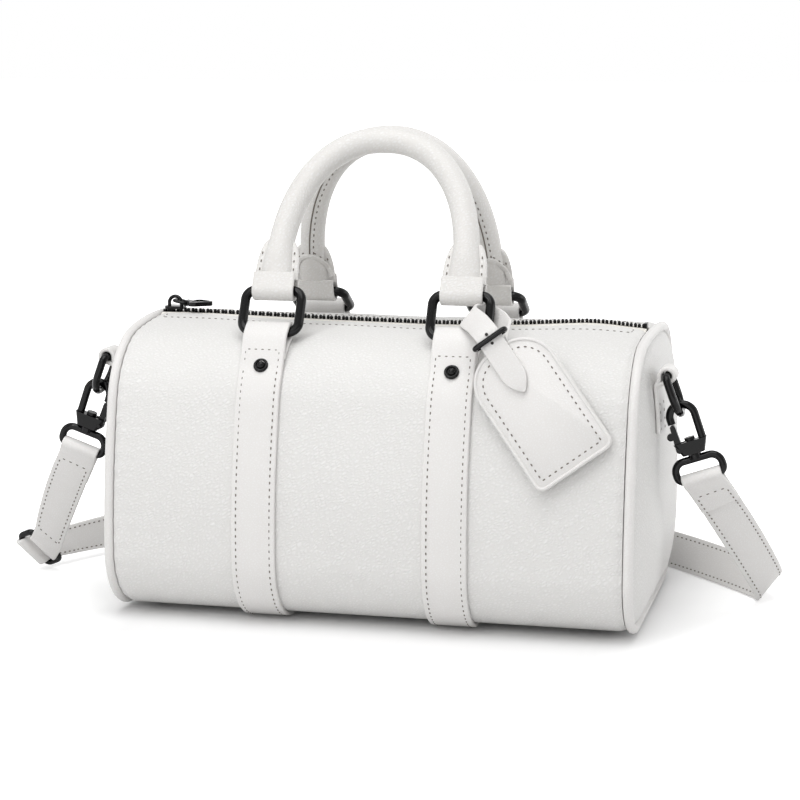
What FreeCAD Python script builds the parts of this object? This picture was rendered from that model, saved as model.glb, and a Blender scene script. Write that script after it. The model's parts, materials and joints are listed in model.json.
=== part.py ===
import FreeCAD, Part
import Sketcher
import math
import os
import re

from FreeCAD import Placement, Rotation, Vector

doc = FreeCAD.newDocument("barrel_bag")

# Every driving size, in millimetres, with angles in degrees and counts and shares as plain numbers.
sizes = {
    # The bag's body: a barrel with flat domed ends
    "seam_length": 280, "body_depth": 176, "body_height": 154.5, "base_corner": 34,
    "shoulder_round": 45, "side_lean": 13.3, "crown_lean": 10,
    "wrap_leather": 2.2, "panel_leather": 2, "lining_cloth": 0.8, "seam_gap": 0.2, "lining_gap": 0.4,
    "piping_radius": 2.6, "piping_sink": 0.6, "end_bulge": 9.5,
    "board_thickness": 2.5, "board_margin": 4, "board_corner": 12,
    "mouth_width": 16, "lining_mouth": 28, "lining_notch": 8,
    # The zip
    "tape_width": 26, "tape_cloth": 0.8, "tape_rise": 2.3, "chain_width": 5.8,
    "tooth_pitch": 3.1, "tooth_length": 1.3, "tooth_overlap": 0.9, "tooth_height": 3.4,
    "chain_margin": 3, "stop_length": 2.8,
    "slider_length": 11, "slider_width": 9, "slider_plate": 1.6, "slider_corner": 2.5, "slider_gap": 0.3,
    "slider_home": 9.4, "post_length": 2.4, "post_width": 1.2, "post_setback": 1.4,
    "bail_half_span": 3.6, "bail_height": 6.2, "bail_wire": 1,
    "link_length": 7, "link_half_width": 3.7, "link_wire": 0.8, "link_bend": 1.6, "link_tilt": 12,
    "pull_length": 15, "pull_width": 15, "pull_thickness": 2.4, "pull_nose": 3.5, "pull_corner": 3.2,
    "pull_slot": 1.6, "pull_slot_length": 5, "pull_rim": 1.3, "pull_recess": 0.5,
    "knuckle_radius": 1.7, "knuckle_width": 4.6, "pin_play": 0.15,
    # The two straps round the body and their rivets
    "strap_width": 24, "strap_leather": 2.5, "strap_gap": 0.15, "strap_spacing": 103, "strap_shift": 6.5,
    "pivot_angle": 64, "rivet_angle": 38, "fair_angle": 44, "loop_clear": 0.8, "loop_leather": 2.2,
    "rivet_radius": 4, "rivet_rim": 0.8, "rivet_dome": 2.3, "rivet_crown": 1.9, "rivet_post": 1.6,
    "rivet_depth": 1.5, "rivet_fit": 0.1,
    # The four handle rings and the two handles
    "ring_wire": 2.6, "ring_inner_width": 26, "ring_inner_height": 18.4, "ring_bend": 5.6, "ring_lean": 27,
    "back_ring_lean": 60,
    "handle_radius": 7, "core_radius": 3.6, "handle_rise": 88, "handle_gap": 0.5,
    "tab_height": 24, "tab_low": 3, "tab_depth": 7, "tab_width": 24, "tab_neck": 8.2,
    # The end tabs and D rings
    "d_set_down": 20.15, "d_forward": 43, "d_reach": 13.5, "d_wire": 2.1, "d_half_width": 11, "d_bend": 3.4,
    "d_drop": 21, "d_lean": 20, "d_tab_width": 14, "d_tab_drop": 30, "d_tab_leather": 2.2, "d_tab_cover": 2.6,
    # The trigger hooks
    "hook_lean": 19, "bow_radius": 6.6, "bow_wire": 2.1, "hook_play": 0.35, "bow_nose": 2.5,
    "foot_top": 13, "foot_height": 7, "foot_width": 18, "foot_narrow": 12, "foot_depth": 7, "foot_corner": 2,
    "gate_thickness": 3, "gate_round": 1.9, "gate_tip": 1.4, "gate_gap": 0.3, "gate_pin": 1,
    "gate_pin_fit": 0.06, "gate_side_gap": 0.2, "gate_slot": 3.6, "lug_radius": 2, "lug_out": 2.4,
    "lug_drop": 4.5, "stud_radius": 2, "stud_fit": 0.08, "stud_head": 2.8, "stud_head_height": 1.6,
    "collar_radius": 3.4, "collar_height": 2.6, "eye_wire": 2, "eye_half_width": 12.5, "eye_bend": 3.5,
    "eye_top_bend": 5.5, "eye_height": 10.5,
    # The shoulder strap and its adjuster
    "band_width": 19, "band_leather": 2.2, "band_loop_clear": 0.5, "floor_gap": 0.8,
    "fold_right_x": 196, "fold_right_y": 32, "fold_left_x": 218, "fold_left_y": 9,
    "fold_lean_x": 14, "fold_lean_y": 5, "fold_left_lean_x": 12, "fold_left_lean_y": 14, "adjuster_lift": 6,
    "bow_left_x": 127, "bow_left_y": 203, "bow_right_x": 22, "bow_right_y": 264,
    "adjuster_wire": 1.8, "adjuster_pitch": 10, "adjuster_width": 26, "adjuster_bend": 3,
    # The name tag
    "tag_width": 46.5, "tag_height": 74.5, "tag_leather": 1.6, "tag_layer_gap": 0.1, "tag_corner": 5,
    "tag_shoulder": 19, "tag_tilt": 36.5, "tag_lean": 11, "tag_out": 46.7, "tag_drop": 34.15,
    "tag_clear": 3.4,
    "tag_strap_width": 13, "tag_strap_leather": 1.8, "tag_loop_width": 11, "tag_tip_share": 0.42,
    "tag_point": 5, "tag_strap_lift": 0.5, "tag_neck": 8, "buckle_set": 5.4, "buckle_wire": 1.4,
    "buckle_half_width": 9.2, "buckle_half_height": 2.6, "buckle_bend": 2.2,
}

# Sizes that follow from the ones above.
derived = {
    "half_depth": "body_depth / 2",
    "base_lift": "strap_gap + strap_leather",
    "top": "base_lift + body_height",
    "side_radius": "(body_height - base_corner - shoulder_round * (cos(crown_lean) - sin(side_lean))"
    " - tan(crown_lean / 2) * (half_depth - shoulder_round * (cos(side_lean) - sin(crown_lean))))"
    " / (sin(side_lean) - tan(crown_lean / 2) * (1 - cos(side_lean)))",
    "crown_half": "half_depth - side_radius * (1 - cos(side_lean))"
    " - shoulder_round * (cos(side_lean) - sin(crown_lean))",
    "crown_radius": "crown_half / sin(crown_lean)",
    "shoulder_y": "crown_half - shoulder_round * sin(crown_lean)",
    "shoulder_z": "top - crown_radius * (1 - cos(crown_lean)) - shoulder_round * cos(crown_lean)",
    "half_seam": "seam_length / 2",
    "wrap_half": "half_seam - piping_radius - seam_gap",
    "mouth_half": "mouth_width / 2",
    "lining_half": "wrap_half - lining_cloth",
    "half_spacing": "strap_spacing / 2",
    # ring pivots on the body straps
    "loop_inner": "ring_wire + loop_clear",
    "loop_outer": "loop_inner + loop_leather",
    "pivot_reach": "shoulder_round + strap_gap + loop_outer",
    "pivot_y": "shoulder_y + pivot_reach * cos(pivot_angle)",
    "pivot_z": "shoulder_z + pivot_reach * sin(pivot_angle)",
    "ring_half": "ring_inner_width / 2 + ring_wire",
    "ring_pitch": "ring_inner_height + 2 * ring_wire",
    "upper_y": "pivot_y - ring_pitch * sin(ring_lean)",
    "upper_z": "pivot_z + ring_pitch * cos(ring_lean)",
    "handle_lean": "asin((upper_y - handle_radius - handle_gap / 2) / handle_rise)",
    "back_upper_y": "pivot_y - ring_pitch * sin(back_ring_lean)",
    "back_upper_z": "pivot_z + ring_pitch * cos(back_ring_lean)",
    "back_handle_lean": "asin((back_upper_y - handle_radius - handle_gap / 2) / handle_rise)",
    # zip levels
    "tape_top": "top - wrap_leather - seam_gap + tape_rise",
    "chain_mid": "tape_top - tape_cloth / 2",
    "chain_top": "chain_mid + tooth_height / 2",
    "chain_half": "half_seam - chain_margin",
    "plate_low": "chain_top + slider_gap",
    "plate_top": "plate_low + slider_plate",
    "slider_x": "0 - half_seam + slider_home",
    "link_z": "plate_top + bail_height - 2 * bail_wire - link_wire - slider_gap",
    "chain_start": "slider_x - slider_length / 2 + post_setback + post_length + post_width / 2 + slider_gap",
    # end fittings
    "d_x": "half_seam + d_reach",
    "d_height": "top - d_set_down",
    "d_loop": "d_wire + loop_clear",
    "d_loop_outer": "d_loop + d_tab_leather",
    "d_foot_x": "d_x + d_drop * sin(d_lean)",
    "d_foot_z": "d_height - d_drop * cos(d_lean)",
    "bow_to_ring": "bow_radius - bow_wire - d_wire - hook_play",
    "hook_x": "d_foot_x + bow_to_ring * sin(hook_lean)",
    "hook_z": "d_foot_z - bow_to_ring * cos(hook_lean)",
    "foot_low": "foot_top + foot_height",
    "eye_top": "foot_low + collar_height + gate_gap",
    "eye_bar": "eye_top + eye_height",
    "pin_z": "0 - foot_top - foot_height / 2",
    # the name tag
    "tag_x": "half_spacing - strap_shift + tag_out",
    "tag_z": "top - tag_drop",
}

sheet = doc.addObject("Spreadsheet::Sheet", "sizes")
cells = {name: str(number) for name, number in sizes.items()}
cells.update({name: "=" + formula for name, formula in derived.items()})
for row, (name, content) in enumerate(cells.items(), 1):
    sheet.set(f"A{row}", name)
    sheet.set(f"B{row}", content)
    sheet.setAlias(f"B{row}", name)
doc.recompute()


def size(name):
    cell = getattr(sheet, name)
    return float(getattr(cell, "Value", cell))


def worth(expression):
    found = sheet.evalExpression(expression)
    return float(getattr(found, "Value", found))


# A formula in plain size names becomes one that points at the sheet's cells.
def bound(formula):
    return re.sub("[a-z_]+", lambda word: "sizes." + word[0] if word[0] in cells else word[0], formula)


def tie(item, field, formula):
    item.setExpression(field, bound(formula))


def ground_plane(body, role):
    return next(item for item in body.Origin.OriginFeatures if item.Role == role)


def new_sketch(body, name, role, lift="0"):
    sketch = body.newObject("Sketcher::SketchObject", f"{body.Name}_{name}")
    sketch.AttachmentSupport = (ground_plane(body, role), [""])
    sketch.MapMode = "FlatFace"
    tie(sketch, "AttachmentOffset.Base.z", lift)
    return sketch


def constrain(sketch, formula, kind, *places):
    number = sketch.addConstraint(Sketcher.Constraint(kind, *places, worth(bound(formula))))
    tie(sketch, f"Constraints[{number}]", formula)


def circle(sketch, x, y, radius):
    middle = Vector(worth(bound(x)), worth(bound(y)), 0)
    number = sketch.addGeometry(Part.Circle(middle, Vector(0, 0, 1), worth(bound(radius))), False)
    constrain(sketch, x, "DistanceX", -1, 1, number, 3)
    constrain(sketch, y, "DistanceY", -1, 1, number, 3)
    constrain(sketch, radius, "Radius", number)


# An outline drawn like a belt round circles, each given as x, y and radius, counter-clockwise.
def belt(sketch, corners):
    spots = [[worth(bound(text)) for text in corner] for corner in corners]
    count = len(spots)
    turns = []
    for (x0, y0, r0), (x1, y1, r1) in zip(spots, spots[1:] + spots[:1]):
        slant = math.asin((r0 - r1) / math.hypot(x1 - x0, y1 - y0))
        turns.append(math.atan2(y1 - y0, x1 - x0) - math.pi / 2 + slant)
    lines = []
    for number, turn in enumerate(turns):
        ends = []
        for x, y, r in (spots[number], spots[(number + 1) % count]):
            ends.append(Vector(x + r * math.cos(turn), y + r * math.sin(turn), 0))
        lines.append(sketch.addGeometry(Part.LineSegment(*ends), False))
        x, y, r = spots[(number + 1) % count]
        following = turn + (turns[(number + 1) % count] - turn) % (2 * math.pi)
        round_corner = Part.ArcOfCircle(Part.Circle(Vector(x, y, 0), Vector(0, 0, 1), r), turn, following)
        lines.append(sketch.addGeometry(round_corner, False))
    for number, line in enumerate(lines):
        following = lines[(number + 1) % len(lines)]
        sketch.addConstraint(Sketcher.Constraint("Tangent", line, 2, following, 1))
    for number in range(count):
        x, y, r = corners[(number + 1) % count]
        arc = lines[2 * number + 1]
        constrain(sketch, x, "DistanceX", -1, 1, arc, 3)
        constrain(sketch, y, "DistanceY", -1, 1, arc, 3)
        constrain(sketch, r, "Radius", arc)


def four_corners(width, height, corner):
    x, y = f"({width} / 2 - {corner})", f"({height} / 2 - {corner})"
    return [(f"0 - {x}", f"0 - {y}", corner), (x, f"0 - {y}", corner), (x, y, corner),
            (f"0 - {x}", y, corner)]


# An arch open at the bottom: up one leg, over the half circle and down the other.
def arch(sketch, half_span, right_low, left_low, spring):
    reach, low, other, level = [worth(bound(text)) for text in (half_span, right_low, left_low, spring)]
    right = sketch.addGeometry(Part.LineSegment(Vector(reach, low, 0), Vector(reach, level, 0)), False)
    over = Part.ArcOfCircle(Part.Circle(Vector(0, level, 0), Vector(0, 0, 1), reach), 0, math.pi)
    top = sketch.addGeometry(over, False)
    left = sketch.addGeometry(Part.LineSegment(Vector(-reach, level, 0), Vector(-reach, other, 0)), False)
    sketch.addConstraint(Sketcher.Constraint("Tangent", right, 2, top, 1))
    sketch.addConstraint(Sketcher.Constraint("Tangent", top, 2, left, 1))
    sketch.addConstraint(Sketcher.Constraint("Vertical", right))
    sketch.addConstraint(Sketcher.Constraint("Vertical", left))
    constrain(sketch, half_span, "Radius", top)
    constrain(sketch, half_span, "DistanceX", -1, 1, right, 1)
    constrain(sketch, spring, "DistanceY", -1, 1, top, 3)
    constrain(sketch, right_low, "DistanceY", -1, 1, right, 1)
    constrain(sketch, left_low, "DistanceY", -1, 1, left, 2)


def new_body(label):
    return doc.addObject("PartDesign::Body", label)


def pad(body, sketch, length, middle=False):
    feature = body.newObject("PartDesign::Pad", f"{sketch.Name}_pad")
    feature.Profile = sketch
    feature.Midplane = middle
    tie(feature, "Length", length)
    doc.recompute()
    return feature


def pocket(body, sketch, length):
    feature = body.newObject("PartDesign::Pocket", f"{sketch.Name}_pocket")
    feature.Profile = sketch
    feature.Midplane = True
    tie(feature, "Length", length)
    doc.recompute()
    return feature


def loft_between(body, name, first, last):
    doc.recompute()
    feature = body.newObject("PartDesign::AdditiveLoft", f"{body.Name}_{name}_loft")
    feature.Profile = first
    feature.Sections = [last]
    feature.Ruled = True
    doc.recompute()
    return feature


def disc(body, name, radius, low, height, x="0", y="0"):
    sketch = new_sketch(body, name, "XY_Plane", low)
    circle(sketch, x, y, radius)
    return pad(body, sketch, height)


def pipe(body, path, section):
    doc.recompute()
    feature = body.newObject("PartDesign::AdditivePipe", f"{path.Name}_pipe")
    feature.Profile = section
    feature.Spine = path
    doc.recompute()
    return feature


# A closed wire loop in the body's XZ plane. Its first straight side starts at x = start, at z = level.
def wire_loop(body, corners, wire, start, level):
    path = new_sketch(body, "path", "XZ_Plane")
    belt(path, corners)
    section = new_sketch(body, "section", "YZ_Plane", start)
    circle(section, "0", level, wire)
    return pipe(body, path, section)


def arch_wire(body, half_span, right_low, left_low, spring, radii):
    path = new_sketch(body, "path", "XZ_Plane")
    arch(path, half_span, right_low, left_low, spring)
    section = new_sketch(body, "section", "XY_Plane", right_low)
    for radius in radii:
        circle(section, half_span, "0", radius)
    return pipe(body, path, section)


def join(kind, name, *parts):
    item = doc.addObject("Part::" + kind, name)
    if kind in ("MultiFuse", "MultiCommon"):
        item.Shapes = list(parts)
    else:
        item.Base, item.Tool = parts
    return item


# A block whose middle is at x, y and z.
def block(name, length, width, height, x="0", y="0", z="0"):
    item = doc.addObject("Part::Box", name)
    for field, formula, axis, place in zip(("Length", "Width", "Height"), (length, width, height), "xyz",
                                           (x, y, z)):
        tie(item, field, formula)
        tie(item, f"Placement.Base.{axis}", f"{place} - ({formula}) / 2")
    return item


# A round bar along X or Y with its middle at x, y and z.
def bar(name, axis, radius, length, x="0", y="0", z="0"):
    item = doc.addObject("Part::Cylinder", name)
    item.Placement.Rotation = Rotation(Vector(0, 0, 1), Vector(axis == "x", axis == "y", axis == "z"))
    tie(item, "Radius", radius)
    tie(item, "Height", length)
    for letter, place in zip("xyz", (x, y, z)):
        shift = f" - ({length}) / 2" if letter == axis else ""
        tie(item, f"Placement.Base.{letter}", place + shift)
    return item


def plain(name, shape):
    item = doc.addObject("Part::Feature", name)
    item.Shape = shape
    return item


# A leather band as a solid between pairs of edge points, thickness centred on the pairs.
def ribbon(pairs, thickness):
    middles = [a + (b - a) / 2 for a, b in pairs]
    wires = []
    for number, (a, b) in enumerate(pairs):
        before = middles[max(number - 1, 0)]
        after = middles[min(number + 1, len(pairs) - 1)]
        half = (after - before).cross(b - a).normalize() * (thickness / 2)
        wires.append(Part.makePolygon([a - half, b - half, b + half, a + half, a - half]))
    return Part.makeLoft(wires, True, True)


def halfway(a, b):
    return a + (b - a) / 2


# A round rod along a direction, given by its middle.
def rod(middle, along, radius, length):
    start = middle - Vector(along).normalize() * (length / 2)
    return Part.makeCylinder(radius, length, start, along)


# The end outline of the body, in the YZ plane, from which every body piece is made.
outline = doc.addObject("Sketcher::SketchObject", "end_outline")
outline.Placement = Placement(Vector(0, 0, 0),
                              Rotation(Vector(0, 1, 0), Vector(0, 0, 1), Vector(1, 0, 0), "ZXY"))
flat_half = "(half_depth - base_corner)"
corner_z = "(base_lift + base_corner)"
right_rounds = [
    (flat_half, corner_z, "base_corner", "-90", "0"),
    ("(half_depth - side_radius)", corner_z, "side_radius", "0", "side_lean"),
    ("shoulder_y", "shoulder_z", "shoulder_round", "side_lean", "(90 - crown_lean)"),
]
arcs = [[worth(bound(text)) for text in texts] for texts in right_rounds]
crown_texts = ("0", "top - crown_radius", "crown_radius", "90 - crown_lean", "90 + crown_lean")
crown = [worth(bound(text)) for text in crown_texts]
mirrored = [(-x, y, radius, 180 - end, 180 - begin) for x, y, radius, begin, end in reversed(arcs)]
base_ends = [Vector(side * worth(bound(flat_half)), size("base_lift"), 0) for side in (-1, 1)]
outline.addGeometry(Part.LineSegment(*base_ends), False)
for x, y, radius, begin, end in arcs + [crown] + mirrored:
    round_edge = Part.Circle(Vector(x, y, 0), Vector(0, 0, 1), radius)
    outline.addGeometry(Part.ArcOfCircle(round_edge, math.radians(begin), math.radians(end)), False)
edge_count = outline.GeometryCount
for number in range(edge_count):
    outline.addConstraint(Sketcher.Constraint("Tangent", number, 2, (number + 1) % edge_count, 1))
outline.addConstraint(Sketcher.Constraint("Horizontal", 0))
constrain(outline, "base_lift", "DistanceY", -1, 1, 0, 1)
for right, left, radius in ((1, 7, "base_corner"), (2, 6, "side_radius"), (3, 5, "shoulder_round")):
    constrain(outline, radius, "Radius", right)
    outline.addConstraint(Sketcher.Constraint("Equal", right, left))
for low, high, reach in ((1, 2, flat_half), (7, 6, "0 - " + flat_half)):
    outline.addConstraint(Sketcher.Constraint("Horizontal", low, 3, high, 3))
    constrain(outline, reach, "DistanceX", -1, 1, low, 3)
for number, first, last in ((2, 1, 2), (6, 2, 1)):
    constrain(outline, "side_radius * sin(side_lean)", "DistanceY", number, first, number, last)
constrain(outline, "crown_radius", "Radius", 4)
doc.recompute()


def ring_of(name, formula):
    item = doc.addObject("Part::Offset2D", name)
    item.Source = outline
    tie(item, "Value", formula)
    return item


def stretch(name, source, half_length):
    item = doc.addObject("Part::Extrusion", name)
    item.Base = source
    item.DirMode = "Custom"
    item.Dir = Vector(1, 0, 0)
    item.Solid = True
    tie(item, "LengthFwd", half_length)
    tie(item, "LengthRev", half_length)
    return item


# The straps and handles sit a little to the left of the middle.
def strap_x(end):
    return end * size("half_spacing") - size("strap_shift")


# Rivet holes through the straps and into the wrap, at four places.
def rivet_axis(side, end):
    angle = math.radians(size("rivet_angle"))
    out = Vector(0, side * math.cos(angle), math.sin(angle))
    centre = Vector(strap_x(end), side * size("shoulder_y"), size("shoulder_z"))
    return centre + out * (size("shoulder_round") + size("strap_gap") + size("strap_leather")), out


rivet_places = [rivet_axis(side, end) for side in (-1, 1) for end in (-1, 1)]
rivet_depth = size("strap_leather") + size("strap_gap") + size("rivet_depth")
rivet_holes = []
for face, out in rivet_places:
    low = face - out * (rivet_depth + size("rivet_fit"))
    length = rivet_depth + size("rivet_crown") + size("loop_outer")
    rivet_holes.append(Part.makeCylinder(size("rivet_post") + size("rivet_fit"), length, low, out))
holes = plain("rivet_holes", Part.makeCompound(rivet_holes))

# The one-piece leather wrap, open at the zip.
inside = ring_of("wrap_inside", "0 - wrap_leather")
shell = join("Cut", "wrap_shell", stretch("wrap_outer", outline, "wrap_half"),
             stretch("wrap_inner", inside, "wrap_half"))
mouth = block("mouth", "seam_length", "mouth_width", "body_height", z="top")
opened = join("Cut", "wrap_opened", shell, mouth)
body_wrap = join("Cut", "body_wrap", opened, holes)

# The cloth lining, a closed box of its own with a wider mouth, and the stiff board on its floor.
lining_out = ring_of("lining_outline", "0 - wrap_leather - lining_gap")
lining_in = ring_of("lining_inside", "0 - wrap_leather - lining_gap - lining_cloth")
sack = join("Cut", "lining_sack", stretch("lining_outer", lining_out, "lining_half"),
            stretch("lining_inner", lining_in, "lining_half - lining_cloth"))
lining = join("Cut", "lining", sack,
              block("lining_opening", "seam_length", "lining_mouth", "2 * lining_notch", z="top"))
base_board = new_body("base_board")
board_low = "base_lift + wrap_leather + lining_gap + lining_cloth + seam_gap"
board_sketch = new_sketch(base_board, "outline", "XY_Plane", board_low)
belt(board_sketch,
     four_corners("(2 * lining_half - 2 * board_margin)", "(body_depth - 2 * base_corner)", "board_corner"))
pad(base_board, board_sketch, "board_thickness")

# The end panels: domed leather plates just inside the piping.
panel_edge = ring_of("panel_outline", "0 - piping_sink - piping_radius - seam_gap")
doc.recompute()
dome_shares = ((1, 0), (0.93, 0.32), (0.8, 0.62), (0.55, 0.88), (0.25, 0.985))
heart = Vector(0, 0, size("base_lift") + size("body_height") / 2)


def dome(shift):
    rings = []
    for scale_share, rise_share in dome_shares:
        ring = panel_edge.Shape.Wires[0].scaled(scale_share, heart)
        ring.translate(Vector(size("half_seam") + shift + rise_share * size("end_bulge"), 0, 0))
        rings.append(ring)
    return Part.makeLoft(rings, True)


panel_shape = dome(0).cut(dome(-size("panel_leather")))
panel_clear = dome(size("seam_gap"))
mirror_x = (Vector(0, 0, 0), Vector(1, 0, 0))
right_end_panel = plain("right_end_panel", panel_shape)
left_end_panel = plain("left_end_panel", panel_shape.mirror(*mirror_x))

# The piping: a round cord in the seam at each end.
piping_line = ring_of("piping_line", "0 - piping_sink")
doc.recompute()
pipings = []
for label, side in (("left_piping", "0 - half_seam"), ("right_piping", "half_seam")):
    cord = doc.addObject("Part::Circle", label + "_section")
    first = piping_line.Shape.Edges[0]
    heading = first.tangentAt(first.FirstParameter)
    cord.Placement = Placement(first.valueAt(first.FirstParameter), Rotation(Vector(0, 0, 1), heading))
    tie(cord, "Radius", "piping_radius")
    item = doc.addObject("Part::Sweep", label)
    item.Sections = [cord]
    item.Spine = (piping_line, [f"Edge{number + 1}" for number in range(len(piping_line.Shape.Edges))])
    item.Solid = True
    tie(item, "Placement.Base.x", side)
    pipings.append(item)

# The zip tapes: each lies under the wrap's folded edge and rises to its row of teeth.
tapes = []
for label, side in (("front_zip_tape", -1), ("back_zip_tape", 1)):
    low = size("tape_top") - size("tape_rise") - size("seam_gap")
    steps = [(size("tape_width") / 2, low - size("seam_gap")), (size("mouth_half") + size("seam_gap"), low),
             (size("chain_width") / 2 + size("seam_gap") / 2, size("tape_top"))]
    edge = [Vector(0, side * y, z) for y, z in steps]
    under = [point - Vector(0, 0, size("tape_cloth")) for point in reversed(edge)]
    face = Part.Face(Part.makePolygon(edge + under + edge[:1]))
    strip = face.extrude(Vector(2 * size("chain_half"), 0, 0))
    strip.translate(Vector(-size("chain_half"), 0, 0))
    tapes.append(plain(label, strip))

# The teeth: two rows of small blocks that reach past the middle in turn.
tooth_rows = []
tooth_count = int((size("chain_half") - size("stop_length") - size("chain_start")) / size("tooth_pitch"))
tooth_reach = size("chain_width") / 2 + size("tooth_overlap")
chain_low = size("chain_mid") - size("tooth_height") / 2
for label, side, shift_share in (("front_zip_teeth", -1, 0), ("back_zip_teeth", 1, 0.5)):
    teeth = []
    for number in range(tooth_count):
        x = size("chain_start") + (number + shift_share) * size("tooth_pitch")
        y = -size("chain_width") / 2 if side < 0 else -size("tooth_overlap")
        teeth.append(Part.makeBox(size("tooth_length"), tooth_reach, size("tooth_height"),
                                  Vector(x, y, chain_low)))
    tooth_rows.append(plain(label, Part.makeCompound(teeth)))
stops = []
for x in (-size("chain_half"), size("chain_half") - size("stop_length") + size("tooth_length")):
    stop_length = size("stop_length") - size("tooth_length")
    stops.append(Part.makeBox(stop_length, size("chain_width"), size("tooth_height"),
                              Vector(x, -size("chain_width") / 2, chain_low)))
zip_stops = plain("zip_stops", Part.makeCompound(stops))

# The slider: two plates joined by a post between the tapes, with a bail on top.
zip_slider = new_body("zip_slider")
plates = (("top_plate", "plate_low"),
          ("bottom_plate", "chain_mid - tooth_height / 2 - slider_gap - slider_plate"))
for name, low in plates:
    sketch = new_sketch(zip_slider, name, "XY_Plane", low)
    belt(sketch, four_corners("slider_length", "slider_width", "slider_corner"))
    if name == "top_plate":
        pad(zip_slider, sketch, "slider_plate")
        post = new_sketch(zip_slider, "post", "XY_Plane", "plate_low")
        half_post = "post_width / 2"
        belt(post, [("0 - slider_length / 2 + post_setback", "0", half_post),
                    ("0 - slider_length / 2 + post_setback + post_length", "0", half_post)])
        neck = pad(zip_slider, post, "tooth_height + 2 * slider_gap")
        neck.Reversed = True
        doc.recompute()
    else:
        pad(zip_slider, sketch, "slider_plate")
bail_path = new_sketch(zip_slider, "bail_path", "XZ_Plane")
arch(bail_path, "bail_half_span", "plate_low + slider_plate / 2", "plate_low + slider_plate / 2",
     "plate_top + bail_height - bail_half_span - bail_wire")
bail_section = new_sketch(zip_slider, "bail_section", "XY_Plane", "plate_low + slider_plate / 2")
circle(bail_section, "bail_half_span", "0", "bail_wire")
pipe(zip_slider, bail_path, bail_section)
tie(zip_slider, "Placement.Base.x", "slider_x")

# The link through the bail, and the pull on the link. Both lie towards the right.
zip_link = new_body("zip_link")
link_half = "(link_half_width - link_bend)"
far, near = "(link_length - link_bend)", "link_bend"
link_path = new_sketch(zip_link, "path", "XY_Plane")
belt(link_path, [(near, "0 - " + link_half, "link_bend"), (far, "0 - " + link_half, "link_bend"),
                 (far, link_half, "link_bend"), (near, link_half, "link_bend")])
link_section = new_sketch(zip_link, "section", "YZ_Plane", near)
circle(link_section, "0 - link_half_width", "0", "link_wire")
pipe(zip_link, link_path, link_section)
link_place = Vector(size("slider_x"), 0, size("link_z"))
zip_link.Placement = Placement(link_place, Rotation(Vector(0, 1, 0), size("link_tilt")))

zip_pull = new_body("zip_pull")
pull_sketch = new_sketch(zip_pull, "outline", "XY_Plane", "0 - pull_thickness / 2")
pull_back = "link_wire + pin_play + knuckle_radius + pull_corner"
pull_side = "(pull_width / 2 - pull_corner)"
belt(pull_sketch, [(pull_back, "0 - " + pull_side, "pull_corner"),
                   ("pull_length - pull_nose", "0", "pull_nose"),
                   (pull_back, pull_side, "pull_corner")])
pad(zip_pull, pull_sketch, "pull_thickness")
recess = new_sketch(zip_pull, "recess", "XY_Plane", "pull_thickness / 2")
belt(recess, [(pull_back, "0 - " + pull_side, "(pull_corner - pull_rim)"),
              ("pull_length - pull_nose", "0", "(pull_nose - pull_rim)"),
              (pull_back, pull_side, "(pull_corner - pull_rim)")])
pocket(zip_pull, recess, "2 * pull_recess")
knuckle = new_sketch(zip_pull, "knuckle", "XZ_Plane")
belt(knuckle, [("0", "0", "knuckle_radius"), ("2 * knuckle_radius", "0", "pull_thickness / 2")])
pad(zip_pull, knuckle, "knuckle_width", True)
slot = new_sketch(zip_pull, "slot", "XY_Plane")
slot_start = "2 * knuckle_radius + pull_corner"
belt(slot, [(slot_start, "0", "pull_slot / 2"), (slot_start + " + pull_slot_length", "0", "pull_slot / 2")])
pocket(zip_pull, slot, "2 * pull_thickness")
pin_hole = new_sketch(zip_pull, "pin_hole", "XZ_Plane")
circle(pin_hole, "0", "0", "link_wire + pin_play")
pocket(zip_pull, pin_hole, "pull_width")
pull_place = link_place + zip_link.Placement.Rotation.multVec(Vector(size("link_length"), 0, 0))
zip_pull.Placement = Placement(pull_place, Rotation())

# The straps round the body, with a loop at each end for a ring.
band = join("Cut", "strap_band",
            stretch("strap_outer", ring_of("strap_outline", "strap_gap + strap_leather"), "strap_width / 2"),
            stretch("strap_inner", ring_of("strap_inside", "strap_gap"), "strap_width / 2"))
ends_off = join("Cut", "strap_ends_off", band,
                block("strap_top", "strap_width", "2 * pivot_y", "body_height",
                      z="top + body_height / 2 - base_corner"))
strap_pieces = [ends_off]
for side in (-1, 1):
    word = "front" if side < 0 else "back"
    place = f"{side} * pivot_y"
    strap_pieces.append(bar(f"strap_loop_{word}", "x", "loop_outer", "strap_width", "0", place, "pivot_z"))
    # The doubled leather between the loop and the rivet
    centre = Vector(0, side * size("shoulder_y"), size("shoulder_z"))
    rays = []
    for name in ("pivot_angle", "fair_angle"):
        angle = math.radians(size(name))
        rays.append(Vector(0, side * math.cos(angle), math.sin(angle)))
    reach = size("shoulder_round") + size("strap_gap")
    level = reach + size("strap_leather")
    inner = level - size("seam_gap")
    corners = [centre + rays[0] * inner, centre + rays[0] * (reach + 2 * size("loop_outer")),
               centre + rays[1] * level, centre + rays[1] * inner]
    fairing = doc.addObject("Part::Polygon", f"strap_fairing_{word}")
    fairing.Nodes = corners
    fairing.Close = True
    strap_pieces.append(stretch(f"strap_double_{word}", fairing, "strap_width / 2"))
strap_whole = join("MultiFuse", "strap_whole", *strap_pieces)
bores = join("MultiFuse", "strap_bores",
             bar("strap_bore_front", "x", "loop_inner", "2 * strap_width", "0", "0 - pivot_y", "pivot_z"),
             bar("strap_bore_back", "x", "loop_inner", "2 * strap_width", "0", "pivot_y", "pivot_z"))
looped = join("Cut", "strap_looped", strap_whole, bores)
doc.recompute()
body_straps = []
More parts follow.
